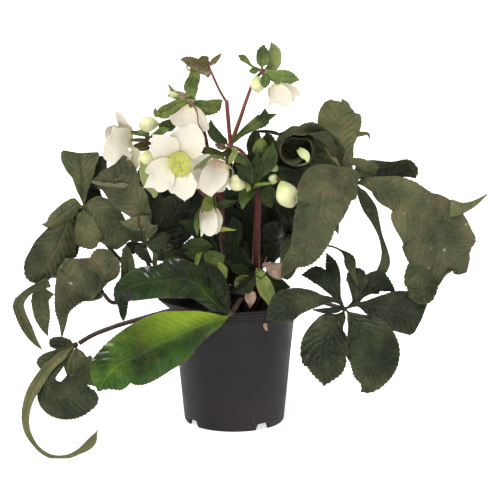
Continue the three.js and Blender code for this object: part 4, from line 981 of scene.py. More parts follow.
leaf("leaf_d", (126, -22, 258), [
  rolled(),
  patch([(66, -48, 297), (70, -53, 294), (74, -57, 290), (75, -58, 285)], [2.4, 4.1, 4.2, 0.6],
    [(-0.8, 0, -0.5), (-0.9, 0, -0.5), (-0.8, 0, -0.5)], tone=0.6, teeth=0, bow=-0.3, coat=(4, 4)),
  blade([(120, -12, 267), (106, -4, 279), (85, 0, 285)], [2, 5, 11, 10, 2], tone=0.12),
  blade([(135, -30, 242), (142, -34, 229), (148, -36, 214), (153, -36, 199), (156, -36, 187),
    (156, -36, 176), (150, -36, 163)], [2, 5.4, 7, 4.3, 2.4, 3.2, 5.3, 4.8],
    [(-1, 0, -0.1), (-1, 0, -0.1), (-0.8, 0, -0.5), (-0.8, 0, 0.7)], tone=0.3, teeth=0.4),
  blade([(141, -34, 258), (156, -38, 253), (173, -42, 247), (185, -46, 233), (201, -48, 217),
    (212, -48, 196), (224, -46, 179), (230, -45, 171), (227, -44, 167)],
    [2, 8, 15, 19, 26, 32, 36, 36, 32, 4.4], [(0.1, 0, -1), (0.1, 0, -1), (-0.3, 0, -1),
    (-0.5, 0, -0.8), (-0.8, 0, -0.6), (-0.8, 0, -0.5), (-0.9, 0, -0.5), (-0.9, 0, -0.4),
    (-0.9, 0, -0.4)], bow=0.12, ruffle=3, quilt=0.5, wave=(2, 3), tone=0.56, coat=(3, 1)),
  patch([(221, -46, 236), (232, -42, 235), (246, -34, 238), (262, -24, 247)], [9, 5.2, 2.9, 0.6],
    [(0.5, 0, -0.9), (0.2, 0, -1), (0.2, 0, -1)], tone=0.9),
  blade([(134, -14, 270), (150, -4, 272), (167, 2, 270), (180, 6, 269), (188, 6, 265),
    (190, 6, 258)], [2, 9, 8, 6, 7, 9, 0.6],
    [(0.7, 0, -0.7), (0.7, 0, -0.7), (0.3, 0, -1), (-0.5, 0, -0.9)], tone=0.4),
  patch([(200, -44, 174), (194, -46, 162), (192, -50, 150), (185, -54, 140)], [20, 19, 16, 12],
    [(-1, 0, 0.3), (-1, 0, 0.1), (-1, 0, 0.1), (-1, 0, 0.1)], tone=0.35),
  patch([(46, -34, 298), (64, -32, 299), (83, -32, 299)], [14, 20, 14], (0, 0, -1), bow=-0.3,
    tone=0.12, blunt=8),
  blade([(145, -10, 263), (161, -4, 266), (178, 0, 267), (190, 0, 259)], [2, 3.7, 5.6, 8, 0.6],
    [(0.5, 0, -0.9), (0.3, 0, -1), (0.1, 0, -1)], tone=0.02),
  blade([(126, -34, 255), (118, -44, 259), (106, -52, 258), (97, -58, 257), (90, -62, 253),
    (88, -66, 241), (83, -68, 229), (80, -68, 214), (71, -66, 194), (57, -62, 181), (48, -58, 164)],
    [2, 12, 19, 24, 31, 26, 22, 20, 17, 12, 5.8, 0.6], [(0, 0, 1), (-0.1, 0, 1), (-0.3, 0, 1),
    (-0.4, 0, 0.9), (-0.6, 0, 0.8), (-0.7, 0, 0.7), (-0.8, 0, 0.6), (-0.9, 0, 0.4), (-0.9, 0, 0.3)],
    fold=8, ruffle=2.2, quilt=0.35, tone=0.52, coat=(3, 1)),
  blade([(118, -14, 271), (114, -8, 282), (110, -4, 294), (109, 4, 306), (110, 8, 318),
    (111, 11, 330), (114, 12, 338), (112, 12, 341)], [2, 3.4, 8, 13, 17, 21, 23, 19, 0.6],
    [(0.9, 0, 0.3), (1, 0, 0), (1, 0, 0), (1, 0, -0.1)], bow=0.12, quilt=0.4, tone=0.8, blunt=5),
  blade([(116, -20, 268), (112, -24, 283), (107, -28, 294), (101, -32, 302), (93, -36, 309),
    (85, -40, 314), (79, -43, 318), (71, -45, 318), (62, -46, 316)],
    [2, 2.5, 4.1, 5.4, 7, 7, 7, 7, 6, 0.6],
    [(0.9, 0, 0.5), (0.9, 0, 0.4), (0.9, 0, 0.3), (0.8, 0, 0.6)], ruffle=1.4, tone=0.75,
    coat=(1, 0)),
  patch([(122, -18, 280), (130, -16, 278), (139, -14, 273), (149, -10, 269)], [4, 5.5, 7, 7],
    [(-0.6, 0, -0.8), (-0.4, 0, -0.9), (-0.4, 0, -0.9), (-0.3, 0, -1)], tone=0.7),
  patch([(127, 2, 305), (133, 0, 306), (139, -2, 306), (141, -4, 301)], [2.9, 2.5, 1.7, 0.6],
    [(-0.1, 0, -1), (-0.2, 0, -1), (-0.3, 0, -1)], tone=0.6, teeth=0),
  blade([(122, -16, 265), (110, -8, 276), (96, -4, 285), (81, -4, 285), (72, -4, 280)],
    [2, 5.3, 9, 15, 17, 9], [(-0.4, 0, 0.9), (-0.2, 0, 1), (-0.1, 0, 1), (0.1, 0, 1)], tone=0.35),
  blade([(122, -10, 260), (101, -4, 266), (81, 0, 269), (65, 0, 269), (56, 0, 269)],
    [2, 4, 7, 10, 11, 5.3], [(-0.3, 0, 0.9), (-0.2, 0, 1), (0, 0, 1), (0, 0, 1)], tone=0.25),
], finishes=(LEAF, LEAF_BACK, PETIOLE, WORN_AND_SHADED, BUD))

leaf("leaf_e", (-92, -37, 198), [
  blade([(-83, -36, 212), (-78, -34, 227), (-76, -32, 242), (-78, -30, 252)], [2, 2.8, 5.6, 7, 0.6],
    [(0.9, 0, -0.3), (1, 0, -0.2), (1, 0, 0)], tone=0.02),
  blade([(-76, -30, 204), (-65, -28, 221), (-55, -28, 237), (-45, -28, 245)], [2, 7, 14, 17, 0.6],
    [(0.8, 0.3, -0.6), (0.9, 0.3, -0.5), (0.9, 0.3, -0.5)], tone=0.05),
  blade([(-100, -38, 205), (-110, -38, 211), (-115, -38, 216)], [2, 7, 6, 0.6], (0.2, 0, 1),
    tone=0.3),
  blade([(-83, -44, 199), (-76, -46, 197), (-68, -46, 193), (-62, -46, 197)], [2, 7, 14, 14, 0.6],
    (-0.1, 0, -1), bow=0.2, tone=0.12),
  blade([(-69, -34, 192), (-63, -34, 189), (-54, -34, 185), (-49, -34, 184)], [2, 4, 8, 15, 0.6],
    [(0.1, 0, -1), (0.1, 0, -1), (-0.2, 0, -1)], tone=0),
  blade([(-96, -42, 194), (-92, -44, 187), (-83, -44, 178)], [2, 6, 4.7, 0.6],
    [(-1, 0, 0.1), (-1, 0, 0.2)], tone=0.1),
  blade([(-81, -44, 190), (-81, -46, 178), (-80, -46, 166)], [2, 2.6, 2.6, 0.6], (-1, 0, 0),
    tone=0.6),
  blade([(-90, -42, 226), (-97, -46, 236), (-103, -50, 245), (-111, -54, 255), (-115, -56, 265),
    (-119, -57, 272), (-125, -58, 277)], [2, 2.9, 5.9, 12, 17, 18, 21, 23], [(0.9, 0, 0.3),
    (0.9, 0, 0.3), (0.9, 0, 0.3), (0.9, 0, 0.4), (0.9, 0, 0.4), (0.9, 0, 0.5), (0.8, 0, 0.6)],
    fold=8, ruffle=2, tone=0.56, blunt=1.5, square=5, coat=(3, 1)),
  blade([(-84, -46, 219), (-100, -47, 220), (-112, -48, 221), (-116, -48, 223)],
    [2, 4.7, 8, 7, 0.6], [(0.7, 0, -0.7), (0.4, 0, -0.3), (-0.4, 0, 0.9)], tone=0.6),
  blade([(-91, -40, 227), (-103, -42, 230), (-116, -42, 236)], [2, 2.8, 4.3, 0.6], (-0.2, 0, 1),
    tone=0.35),
  blade([(-96, -20, 192), (-103, -18, 190), (-111, -16, 187), (-117, -16, 186)],
    [2, 1.5, 3.7, 7, 0.6], (-0.2, 0, 1), tone=0.1),
  blade([(-93, -5, 205), (-89, 0, 231), (-92, 0, 255), (-94, 0, 272)], [2, 4, 9, 11, 6], (1, 0, 0),
    tone=0.05),
  patch([(-112, -56, 270), (-122, -58, 268), (-130, -59, 267), (-136, -61, 266), (-144, -62, 266)],
    [16, 14, 11, 6, 0.6], [(0.1, 0, 1), (0, 0, 1), (0, 0, 1), (0, 0, 1)], tone=0.45, coat=(3, 1)),
  patch([(-142, -64, 266), (-137, -63, 265), (-131, -62, 263), (-125, -62, 263), (-120, -61, 262),
    (-116, -60, 262), (-110, -59, 262), (-106, -58, 262)], [1.4, 1.8, 1.6, 2.2, 1.4, 2.3, 2.4, 0.6],
    [(0.4, 0, -0.9), (0, 0, -1), (0, 0, -1), (0, 0, -1)], tone=1, teeth=1.6, ruffle=0.3,
    coat=(1, 1)),
], finishes=(LEAF, LEAF_BACK, PETIOLE, WORN_AND_SHADED))

leaf("leaf_f", (-155, -25, 233), [
  blade([(-155, -24, 242), (-156, -22, 253), (-156, -18, 264), (-158, -12, 273), (-159, -7, 280),
    (-159, -2, 286)], [2, 3.4, 7, 11, 16, 20, 20],
    [(1, 0, 0.2), (1, 0, 0.1), (1, 0, 0.1), (1, 0, 0), (1, 0, 0), (1, 0, -0.1)], fold=14,
    ruffle=2.2, tone=0.5, blunt=1.5),
  patch([(-147, -16, 252), (-142, -10, 265), (-138, -5, 277), (-134, 0, 281)], [4.6, 6, 8, 4.5],
    [(0.9, 0, -0.5), (0.9, 0, -0.3), (0.9, 0, -0.4), (0.9, 0, -0.5)], tone=0, coat=(0, 0)),
  blade([(-151, -28, 236), (-143, -33, 232), (-134, -37, 224), (-126, -39, 213), (-119, -41, 204),
    (-113, -42, 196)], [2, 14, 18, 19, 18, 14, 9],
    [(-0.4, -0.3, -0.9), (-0.4, -0.3, -0.9), (-0.5, -0.3, -0.9), (-0.6, -0.3, -0.8)], bow=0.25,
    ruffle=2.4, tone=0.42, blunt=4),
  blade([(-154, -36, 227), (-152, -41, 214), (-149, -44, 203), (-146, -45, 196), (-145, -45, 193)],
    [2, 5.7, 10, 13, 14, 4.8], [(-1, 0.3, 0.3), (-0.9, 0.3, 0.3), (-0.9, 0.3, 0.3), (-1, 0.3, 0)],
    bow=0.2, ruffle=2, tone=0.5, blunt=4),
  blade([(-160, -34, 238), (-168, -40, 233), (-179, -44, 226), (-189, -46, 219), (-196, -46, 219)],
    [2, 7, 9, 8, 6, 0.6], [(-0.5, 0, 0.9), (-0.4, 0, 0.9), (-0.4, 0, 0.9), (-0.4, 0, 0.9)],
    bow=0.45, tone=0.55),
  blade([(-160, -30, 229), (-166, -36, 221), (-175, -38, 215), (-182, -38, 211)],
    [2, 6, 10, 8, 0.6], [(-0.4, 0, 0.9), (-0.6, 0, 0.8), (-0.7, 0, 0.8)], fold=-15, tone=0.05),
  blade([(-168, -36, 224), (-175, -44, 209), (-181, -49, 196), (-190, -52, 182), (-199, -52, 169),
    (-202, -50, 158)], [2, 9, 14, 20, 21, 19, 10],
    [(-0.9, -0.2, 0.5), (-0.9, -0.2, 0.4), (-1, -0.2, 0.2), (-1, -0.2, 0)], bow=0.25, ruffle=2.6,
    tone=0.42, blunt=6),
  blade([(-162, -24, 225), (-170, -20, 208), (-170, -20, 191), (-168, -20, 178)], [2, 8, 10, 10, 6],
    [(-1, 0, 0), (-1, 0, 0), (-1, 0, 0), (-1, 0, -0.2)], tone=0.02),
  blade([(-154, -8, 233), (-148, -4, 240), (-145, 0, 246), (-141, 0, 252)], [2, 1.8, 5.8, 10, 0.6],
    (0.7, 0, -0.7), tone=0.1),
])

leaf("leaf_g", (-135, -52, 149), [
  blade([(-140, -52, 151), (-153, -56, 150), (-165, -58, 155)], [2, 5.9, 5.4, 0.6],
    [(0, 0, 1), (0.1, 0, 1)], tone=0.35),
  patch([(-189, -54, 161), (-204, -52, 154), (-214, -52, 147), (-221, -52, 137), (-218, -54, 125),
    (-212, -56, 112), (-205, -56, 99), (-197, -56, 89)], [6, 4.1, 4.1, 6, 6, 5.8, 3.5, 0.6],
    [(0.2, 0, 1), (-1, 0, 0), (-1, 0, -0.2), (-0.9, 0, -0.3)], fold=20, tone=0.5),
  patch([(-192, -50, 152), (-199, -50, 142), (-198, -52, 131), (-196, -54, 120), (-194, -55, 111),
    (-191, -56, 104)], [9, 9, 9, 8, 4.6, 0.6], [(-1, 0, -0.1), (-1, 0, 0), (-1, 0, 0), (-1, 0, 0)],
    tone=0.55),
  patch([(-159, -58, 186), (-159, -58, 176), (-158, -60, 163), (-168, -60, 150), (-175, -62, 133),
    (-175, -64, 119), (-176, -66, 104)], [13, 24, 23, 15, 8, 3.8, 0.6],
    [(-1, 0, -0.3), (-1, 0, -0.1), (-1, 0, -0.3), (-0.9, 0, -0.4)], fold=-12, ruffle=2.6, tone=0.46,
    coat=(3, 1)),
  blade([(-135, -56, 160), (-131, -60, 171), (-133, -63, 186), (-132, -61, 197)], [2, 9, 16, 15, 9],
    [(1, 0, 0.2), (1, 0, 0), (1, 0, -0.2), (1, 0, -0.2)], fold=-22, ruffle=3, tone=0.6, blunt=5,
    coat=(3, 1)),
  patch([(-107, -46, 141), (-108, -48, 157), (-108, -49, 172), (-109, -49, 186), (-110, -49, 197)],
    [9, 9, 8, 7, 3.6], [(1, 0, 0.1), (1, 0, 0), (1, 0, 0), (1, 0, -0.1)], fold=20, tone=0.3,
    blunt=3),
  blade([(-136, -50, 147), (-146, -50, 149), (-157, -50, 149), (-167, -50, 150)],
    [2, 7, 7, 5.7, 1.1], [(0, 0, 1), (0.1, 0, 1), (0.1, 0, 1), (0, 0, 1)], fold=24, tone=0.35),
  blade([(-137, -42, 144), (-149, -42, 140), (-161, -42, 141)], [2, 3.2, 2.7, 1.7],
    [(-0.1, 0, 1), (0, 0, 1), (0.3, 0, 0.9)], tone=0.6),
], finishes=(LEAF, LEAF_BACK, PETIOLE, WORN_AND_SHADED))

leaf("leaf_h", (24, 26, 160), [
  blade([(22, 27, 190), (24, 24, 216), (26, 18, 244)], [2, 15, 19, 17, 3], tone=0),
  blade([(13, 28, 190), (6, 30, 214), (0, 28, 238)], [2, 14, 17, 12, 1], tone=0.15),
  blade([(38, 26, 182), (49, 24, 208), (56, 20, 236)], [2, 15, 18, 12, 1], tone=0.15),
  blade([(34, 52, 182), (40, 84, 182), (38, 108, 154)], [2, 14, 20, 16, 1], face=(0.2, 0.5, 0.8),
    tone=0.15),
  blade([(12, 50, 184), (0, 80, 186), (-8, 106, 160)], [2, 14, 20, 15, 1], face=(-0.2, 0.5, 0.8),
    tone=0.15),
  blade([(18, 24, 189), (19, 22, 216), (22, 20, 238), (23, 18, 252)], [2, 9, 14, 13, 0.6],
    (1, 0, 0), tone=0),
  blade([(37, 30, 187), (44, 30, 216), (51, 28, 239), (55, 26, 255), (59, 24, 266)],
    [2, 9, 13, 15, 14, 0.6], [(1, 0, 0.1), (1, 0, 0.1), (1, 0, 0.2), (1, 0, 0.2)], tone=0.03),
  blade([(5, 20, 181), (-3, 16, 200), (-8, 12, 222), (-13, 10, 239)], [2, 6, 10, 11, 0.6],
    [(1, 0, 0.3), (0.9, 0, 0.3), (0.9, 0, 0.3)], tone=0),
  blade([(19, 20, 190), (19, 16, 217), (19, 14, 244), (18, 12, 262), (17, 10, 277)],
    [2, 11, 16, 16, 14, 0.6], [(1, 0, 0), (1, 0, 0), (1, 0, 0), (1, 0, -0.1)], tone=0),
])

leaf("leaf_i", (-44, 56, 190), [
  blade([(-30, 44, 206), (-16, 34, 226), (-8, 26, 246)], [2, 15, 20, 17, 3], tone=0),
  blade([(-56, 40, 200), (-66, 26, 212), (-70, 18, 226)], [2, 13, 16, 12, 2], tone=0),
  blade([(-46, 44, 214), (-48, 32, 234), (-46, 24, 250)], [2, 12, 16, 11, 1], tone=0.15),
  blade([(-68, 62, 212), (-96, 66, 212), (-120, 68, 188)], [2, 14, 19, 15, 1],
    face=(-0.4, 0.3, 0.9), tone=0.15),
  blade([(-60, 82, 208), (-78, 108, 200), (-86, 126, 166)], [2, 14, 20, 15, 1],
    face=(-0.4, 0.5, 0.8), tone=0.15),
  blade([(-40, 82, 212), (-34, 110, 210), (-30, 132, 180)], [2, 13, 18, 14, 1],
    face=(0.1, 0.5, 0.9), tone=0.15),
  blade([(-28, 34, 198), (-19, 28, 221), (-13, 24, 237), (-8, 20, 250)], [2, 7, 12, 12, 0.6],
    [(0.9, 0, -0.5), (0.9, 0, -0.4), (1, 0, -0.3)], tone=0),
  blade([(-51, 36, 201), (-53, 28, 225), (-51, 24, 243), (-51, 22, 254)], [2, 9, 13, 13, 0.6],
    [(1, 0, -0.1), (1, 0, 0), (1, 0, 0)], tone=0.04),
  blade([(-60, 34, 185), (-76, 24, 186), (-91, 18, 190)], [2, 3.7, 7, 0.6], (-0.4, 0, 0.9), tone=0),
  blade([(-42, 10, 207), (-50, 12, 228), (-54, 12, 243), (-54, 12, 252)], [2, 2.1, 4.1, 22, 26],
    (1, 0, 0), tone=0.02, blunt=5),
])

leaf("leaf_j", (58, 56, 190), [
  blade([(66, 60, 214), (76, 60, 236), (82, 58, 252)], [2, 10, 15, 11, 1], tone=0.15),
  blade([(78, 70, 210), (100, 82, 208), (114, 90, 182)], [2, 13, 18, 14, 1], face=(0.4, 0.3, 0.9),
    tone=0.15),
  blade([(68, 84, 208), (80, 112, 202), (84, 130, 168)], [2, 13, 18, 14, 1], face=(0.3, 0.5, 0.9),
    tone=0.15),
  blade([(55, 40, 203), (54, 34, 228), (55, 30, 245), (57, 28, 257)], [2, 6, 9, 8, 0.6],
    [(0.9, 0, -0.3), (1, 0, -0.3), (1, 0, -0.2)], tone=0),
  blade([(56, 38, 204), (53, 30, 229), (52, 26, 252), (46, 24, 268)], [2, 12, 16, 16, 0.6],
    [(1, 0, -0.2), (1, 0, -0.1), (1, 0, -0.1)], tone=0),
  blade([(56, -10, 212), (58, -6, 237), (60, -4, 256), (63, -4, 269)], [2, 2.1, 4.3, 15, 10],
    (1, 0, 0), tone=0.12, blunt=5),
  blade([(60, -20, 198), (59, -24, 183), (56, -26, 169), (51, -26, 158)], [2, 3.2, 6, 11, 7],
    (-1, 0, 0), tone=0.3, blunt=5),
  blade([(55, 20, 197), (47, 0, 195), (37, -2, 193), (30, -2, 192)], [2, 4, 8, 19, 17],
    [(-0.3, 0, 1), (-0.3, 0, 1), (-0.2, 0, 1), (0, 0, 1)], tone=0, blunt=5),
])

# Blooms, and the stamens that some of them show.
bloom("bloom_front", (-52, -70, 286), [
  blade([(-59, -74, 293), (-65, -78, 300), (-71, -81, 306), (-76, -82, 312), (-80, -82, 317)],
    [2, 4.2, 11, 15, 10, 0.6], (0.7, 0, 0.7), ruffle=1.4, lobes=0.07),
  blade([(-51, -74, 297), (-47, -77, 303), (-45, -79, 311), (-43, -79, 317), (-42, -78, 323),
    (-43, -77, 328)], [2, 5.5, 12, 17, 17, 12, 0.6],
    [(0.9, 0, -0.5), (0.9, 0, -0.5), (0.9, 0, -0.4), (1, 0, -0.3), (1, 0, -0.3)], ruffle=1.8,
    lobes=0.08),
  blade([(-60, -76, 285), (-67, -82, 282), (-73, -85, 276), (-76, -86, 271), (-81, -86, 269),
    (-89, -85, 264)], [2, 5.9, 11, 15, 14, 5.8, 0.6],
    [(-0.5, 0, 0.9), (-0.4, 0, 0.9), (-0.5, 0, 0.9), (-0.6, 0, 0.8), (-0.6, 0, 0.8)], ruffle=2.6,
    lobes=0.12, fray=0.7),
  blade([(-51, -75, 279), (-51, -82, 271), (-50, -84, 264), (-49, -84, 259), (-49, -84, 255),
    (-49, -83, 250)], [2, 6, 10, 12, 13, 8, 0.6],
    [(-1, 0, -0.1), (-1, 0, -0.1), (-1, 0, -0.2), (-1, 0, 0), (-1, 0, 0)], ruffle=2.8, lobes=0.14,
    fray=0.9),
  blade([(-43, -70, 285), (-35, -67, 288), (-28, -66, 291), (-22, -65, 292), (-19, -65, 292)],
    [2, 3.7, 5, 4.7, 3.4, 0.6], [(0.2, 0, -1), (0.2, 0, -1), (0.2, 0, -1), (0.4, 0, -0.9)],
    ruffle=1, tone=0.4),
  patch([(-60, -71, 286), (-50, -71, 286), (-39, -71, 286)], [7, 13, 10], (0, 0, -1), tone=0.4,
    blunt=6),
  patch([(-57, -74, 300), (-56, -77, 311), (-58, -78, 319)], [5.5, 7, 6],
    [(1, 0, 0), (1, 0, 0.2), (0.9, 0, 0.4)], blunt=2, square=4),
])
heart("heart_front", (-54, -75, 286), (-0.05, -1, 0.05), 96, 9.8, 1.3)

bloom("bloom_upper", (-44, -32, 341), [
  blade([(-38, -26, 331), (-36, -22, 318)], [2.5, 8, 10, 8, 2], face=(0.3, 0.9, 0.3)),
  blade([(-54, -27, 331), (-58, -24, 318)], [2.5, 8, 10, 8, 2], face=(-0.5, 0.9, 0.3)),
  blade([(-51, -38, 334), (-57, -44, 326), (-61, -46, 322)], [2, 3.3, 6, 10],
    [(-0.9, 0, 0.4), (-0.9, 0, 0.4), (-0.8, 0, 0.6)], tone=0.5, blunt=6),
  blade([(-45, -42, 338), (-44, -50, 329), (-43, -54, 317), (-43, -54, 307)], [2, 5.4, 10, 11, 8],
    (-1, 0, 0), tone=0.6, blunt=7),
  blade([(-41, -36, 338), (-34, -40, 330), (-30, -42, 321), (-29, -42, 314)],
    [2, 3.8, 4.7, 5.2, 4.8], [(-1, 0, -0.1), (-1, 0, -0.2), (-0.9, 0, -0.4), (-0.8, 0, -0.5)],
    tone=0.6, blunt=4),
  # A thin brown line down a sepal's edge: partly the sepal's own reddish edge and partly painted
  # shadow between the sepals.
  patch([(-40, -56, 343), (-36, -60, 334), (-35, -63, 325), (-31, -64, 317), (-30, -64, 313)],
    [0.8, 0.6, 0.6, 0.6, 0.6], (-1, 0, 0), tone=0.3, ruffle=0, teeth=0, coat=(2, 2)),
])
heart("heart_upper", (-46, -34, 334), (0.1, -0.2, -1), 16, 8)

bloom("bloom_left", (-103, -39, 298), [
  blade([(-108, -38, 316), (-112, -41, 323), (-117, -43, 332), (-119, -44, 335)],
    [2, 3.5, 6, 4.7, 2.3], [(1, 0, -0.2), (1, 0, -0.2), (0.9, 0, -0.5), (1, 0, -0.2)], tone=0.2,
    blunt=2),
  blade([(-108, -48, 306), (-115, -54, 303), (-124, -57, 302), (-130, -58, 304)],
    [2, 9, 17, 19, 12], [(-0.2, 0, 1), (-0.2, 0, 1), (-0.1, 0, 1), (-0.2, 0, 1)], tone=0.2, blunt=6,
    ruffle=1.8),
  blade([(-101, -42, 297), (-100, -42, 286), (-100, -42, 274)], [2, 5.6, 4.6, 3.1],
    [(-1, 0, 0.3), (-1, 0, 0.2), (-1, 0, 0.2)], tone=0.3, blunt=3),
  blade([(-106, -38, 302), (-114, -40, 307), (-125, -43, 311), (-131, -44, 311)],
    [2, 5.5, 9, 11, 7], [(0, 0, 1), (0, 0, 1), (0.1, 0, 1), (0.2, 0, 1)], tone=0.15, blunt=5,
    ruffle=1.2),
])
heart("heart_left", (-109, -42, 299), (-1, -0.1, 0.1), 16, 6)

bloom("bloom_right", (-10, -46, 284), [
  blade([(-20, -40, 276), (-28, -42, 260)], [2.5, 9, 11, 9, 2], face=(-0.2, 0.9, 0.2)),
  blade([(-8, -38, 273), (-12, -40, 258)], [2.5, 7, 9, 8, 2], face=(0.5, 0.8, 0.1)),
  blade([(-14, -56, 284), (-18, -64, 275), (-23, -68, 265), (-23, -68, 256), (-22, -67, 251)],
    [2, 7, 12, 13, 10, 0.6], (-0.9, 0, 0.5), tone=0.9),
  blade([(-21, -50, 282), (-30, -56, 274), (-36, -58, 265), (-35, -58, 258)], [2, 5, 7, 8, 5.2],
    [(-0.7, 0, 0.7), (-0.7, 0, 0.7), (-0.7, 0, 0.7), (-0.9, 0, 0.5)], tone=0.5, blunt=4),
  blade([(-10, -50, 282), (-9, -54, 272), (-12, -56, 261), (-16, -56, 254)],
    [2, 4.4, 4.9, 5.5, 3.7], [(-1, 0, 0.1), (-1, 0, 0), (-1, 0, -0.1), (-1, 0, -0.3)], tone=0.7,
    blunt=3),
  blade([(-37, -58, 280), (-36, -60, 273), (-34, -60, 263), (-33, -58, 258)], [2, 2.3, 4.6, 7, 4.6],
    [(0.9, 0, 0.5), (0.9, 0, 0.5), (-0.5, 0, -0.1), (-1, 0, -0.1)], tone=0.35, blunt=5),
])
heart("heart_right", (-13, -47, 279), (-0.4, -0.2, -1), 16, 8)

bloom("bloom_top", (43, -30, 362), [
  blade([(53, -22, 353), (62, -20, 342)], [2, 7, 9, 8, 3], face=(0.6, 0.8, 0.3)),
  blade([(43, -21, 351), (44, -20, 340)], [2, 7, 8, 7, 2], face=(-0.2, 1, 0.2)),
  blade([(41, -36, 359), (41, -38, 350), (39, -38, 344), (35, -38, 339)], [2, 3.2, 3.8, 3.6, 0.6],
    [(-0.9, 0, 0.3), (-0.9, 0, 0.4), (-1, 0, -0.1)], tone=0.4),
  blade([(46, -40, 359), (50, -44, 351), (53, -46, 344), (55, -46, 338)], [2, 4.1, 8, 8, 3.6],
    [(-1, 0, -0.2), (-1, 0, -0.2), (-1, 0, -0.2), (-1, 0, -0.1)], tone=0.5, blunt=4),
  blade([(50, -36, 359), (58, -38, 354), (65, -38, 352), (68, -38, 351)], [2, 3.9, 7, 7, 0.6],
    [(0.4, 0, -0.9), (0.3, 0, -1), (0.1, 0, -1)], tone=0.6),
])
heart("heart_top", (45, -31, 356), (0.3, -0.1, -1), 14, 7)

bloom("bloom_low", (-25, -51, 240), [
  blade([(-18, -46, 225), (-19, -47, 212)], [2, 6, 7, 6, 2], face=(0.4, 0.9, 0)),
  blade([(-31, -48, 225), (-29, -49, 212)], [2, 6, 7, 6, 2], face=(-0.5, 0.9, 0)),
  blade([(-25, -58, 234), (-24, -66, 227), (-24, -68, 219), (-23, -68, 211)], [2, 5.6, 8, 8, 4.1],
    [(-1, 0, 0), (-1, 0, 0), (-1, 0, 0), (-1, 0, 0.1)], tone=0.1, blunt=4),
  blade([(-31, -54, 233), (-31, -60, 225), (-31, -62, 216), (-33, -62, 209)], [2, 3, 3.4, 2.9, 0.6],
    [(-1, 0, 0), (-1, 0, 0.3), (-1, 0, 0)], tone=0.1),
  blade([(-20, -52, 233), (-16, -56, 226), (-17, -58, 217), (-18, -58, 211)],
    [2, 2.8, 4.1, 4.2, 2.5], [(-1, 0, 0.2), (-1, 0, 0.1), (-1, 0, 0.1), (-1, 0, 0)], tone=0.1,
    blunt=3),
])
# Buds, from base to tip, with their radius.
bud("bud_top", (24, -28, 370), (25, -31, 352), 6.4)
bud("bud_left", (-75, -41, 322), (-96, -48, 322), 7.2)
bud("bud_behind", (-86, -44, 296), (-90, -50, 276), 8)
bud("bud_centre", (15, -43, 260), (-6, -50, 264), 7.5)
bud("bud_large", (48, -50, 265), (60, -58, 239), 11)
bud("bud_small", (39, -37, 260), (42, -47, 270), 4.3, tone=0.65)
bud("bud_green", (13, -45, 274), (10, -49, 267), 3.2, tone=0.9)
bud("bud_side", (39, -36, 272), (44, -45, 280), 3.6, tone=0.95)
bud("bud_crown", (-54, -31, 348), (-66, -34, 352), 3.2, tone=0.6)

# Bracts and small leaves.
whorl("bracts_crown", (-25, -25, 381), [
  blade([(-27, -26, 374), (-34, -28, 379), (-44, -30, 384), (-49, -31, 386), (-54, -31, 386)],
    [2, 4.8, 6, 6, 4.5, 0.6], [(-0.2, 0, 1), (-0.3, 0, 0.9), (-0.2, 0, 1), (-0.3, 0, 1)], tone=0.6,
    coat=(3, 1)),
  blade([(-25, -27, 382), (-31, -28, 386), (-36, -28, 385)], [2, 4.8, 3.9, 0.6], (-0.6, 0, 0.8),
    tone=0.45, coat=(3, 1)),
  blade([(-23, -26, 380), (-20, -27, 384), (-16, -28, 388), (-12, -28, 392)], [2, 3.1, 3, 2.1, 0.6],
    [(1, 0, -0.2), (1, 0, -0.3), (1, 0, -0.2)], tone=0.65, coat=(3, 1)),
  blade([(-30, -24, 374), (-38, -26, 378), (-45, -28, 379)], [2, 4, 4.7, 3.1],
    [(-0.5, 0, 0.9), (-0.5, 0, 0.9), (-0.6, 0, 0.8)], tone=1, coat=(3, 1)),
  patch([(-39, -29, 377), (-40, -31, 367), (-43, -31, 360), (-43, -30, 354), (-44, -30, 348)],
    [4.8, 6, 7, 7, 0.6], [(-1, 0, -0.1), (-1, 0, 0.1), (-1, 0, 0.1), (-1, 0, 0.2)], tone=0.55),
  blade([(-26, -26, 373), (-26, -26, 367)], [2, 3.6, 2.8], [(-1, 0, 0.1), (-1, 0, -0.1)], tone=0.45,
    coat=(3, 1)),
  patch([(-46, -29, 378), (-47, -30, 377), (-50, -30, 378)], [3.2, 3.4, 0.6],
    [(-0.3, 0, 1), (-0.6, 0, 0.8)], tone=1, teeth=0, coat=(4, 4)),
])

whorl("bracts_upper", (-40, -26, 351), [
  blade([(-39, -34, 342), (-29, -36, 338), (-21, -37, 339), (-14, -37, 344), (-11, -37, 346)],
    [2, 4, 7, 8, 7, 0.6], [(0.4, 0, -0.9), (0.3, 0, -0.9), (0.1, 0, -1), (0.1, 0, -1)],
    wave=(1.5, 2), tone=0.4),
  blade([(-49, -34, 343), (-57, -36, 341), (-64, -38, 336), (-72, -39, 333), (-79, -40, 330)],
    [2, 2.4, 4.9, 7, 7, 3.7], [(0.3, 0, 1), (0.3, 0, 1), (0, 0, 1), (0.3, 0, 1)], tone=0.65),
  patch([(-76, -40, 330), (-79, -40, 334), (-79, -40, 338)], [3.6, 2.6, 0.6],
    [(0.7, 0, 0.7), (0.9, 0, 0.4)], tone=0.65),
  blade([(-49, -32, 349), (-57, -32, 350), (-64, -33, 350), (-67, -33, 349)], [2, 3, 4.4, 4.1, 0.6],
    [(0.4, 0, 0.9), (0.3, 0, 1), (0.1, 0, 1)], tone=0.9, coat=(3, 3)),
  patch([(-59, -31, 350), (-63, -31, 356), (-66, -31, 361)], [3.2, 2, 0.6],
    [(0.9, 0, 0.3), (0.9, 0, 0.4)], tone=0.85, coat=(3, 3)),
  blade([(-43, -32, 348), (-43, -31, 354), (-42, -30, 359)], [2, 4.8, 6, 4.1], (1, 0, 0),
    tone=0.65),
  patch([(-43, -40, 347), (-43, -42, 343), (-43, -42, 339)], [3.8, 3.3, 0.6], (-1, 0, 0), tone=0.6,
    coat=(3, 1)),
])

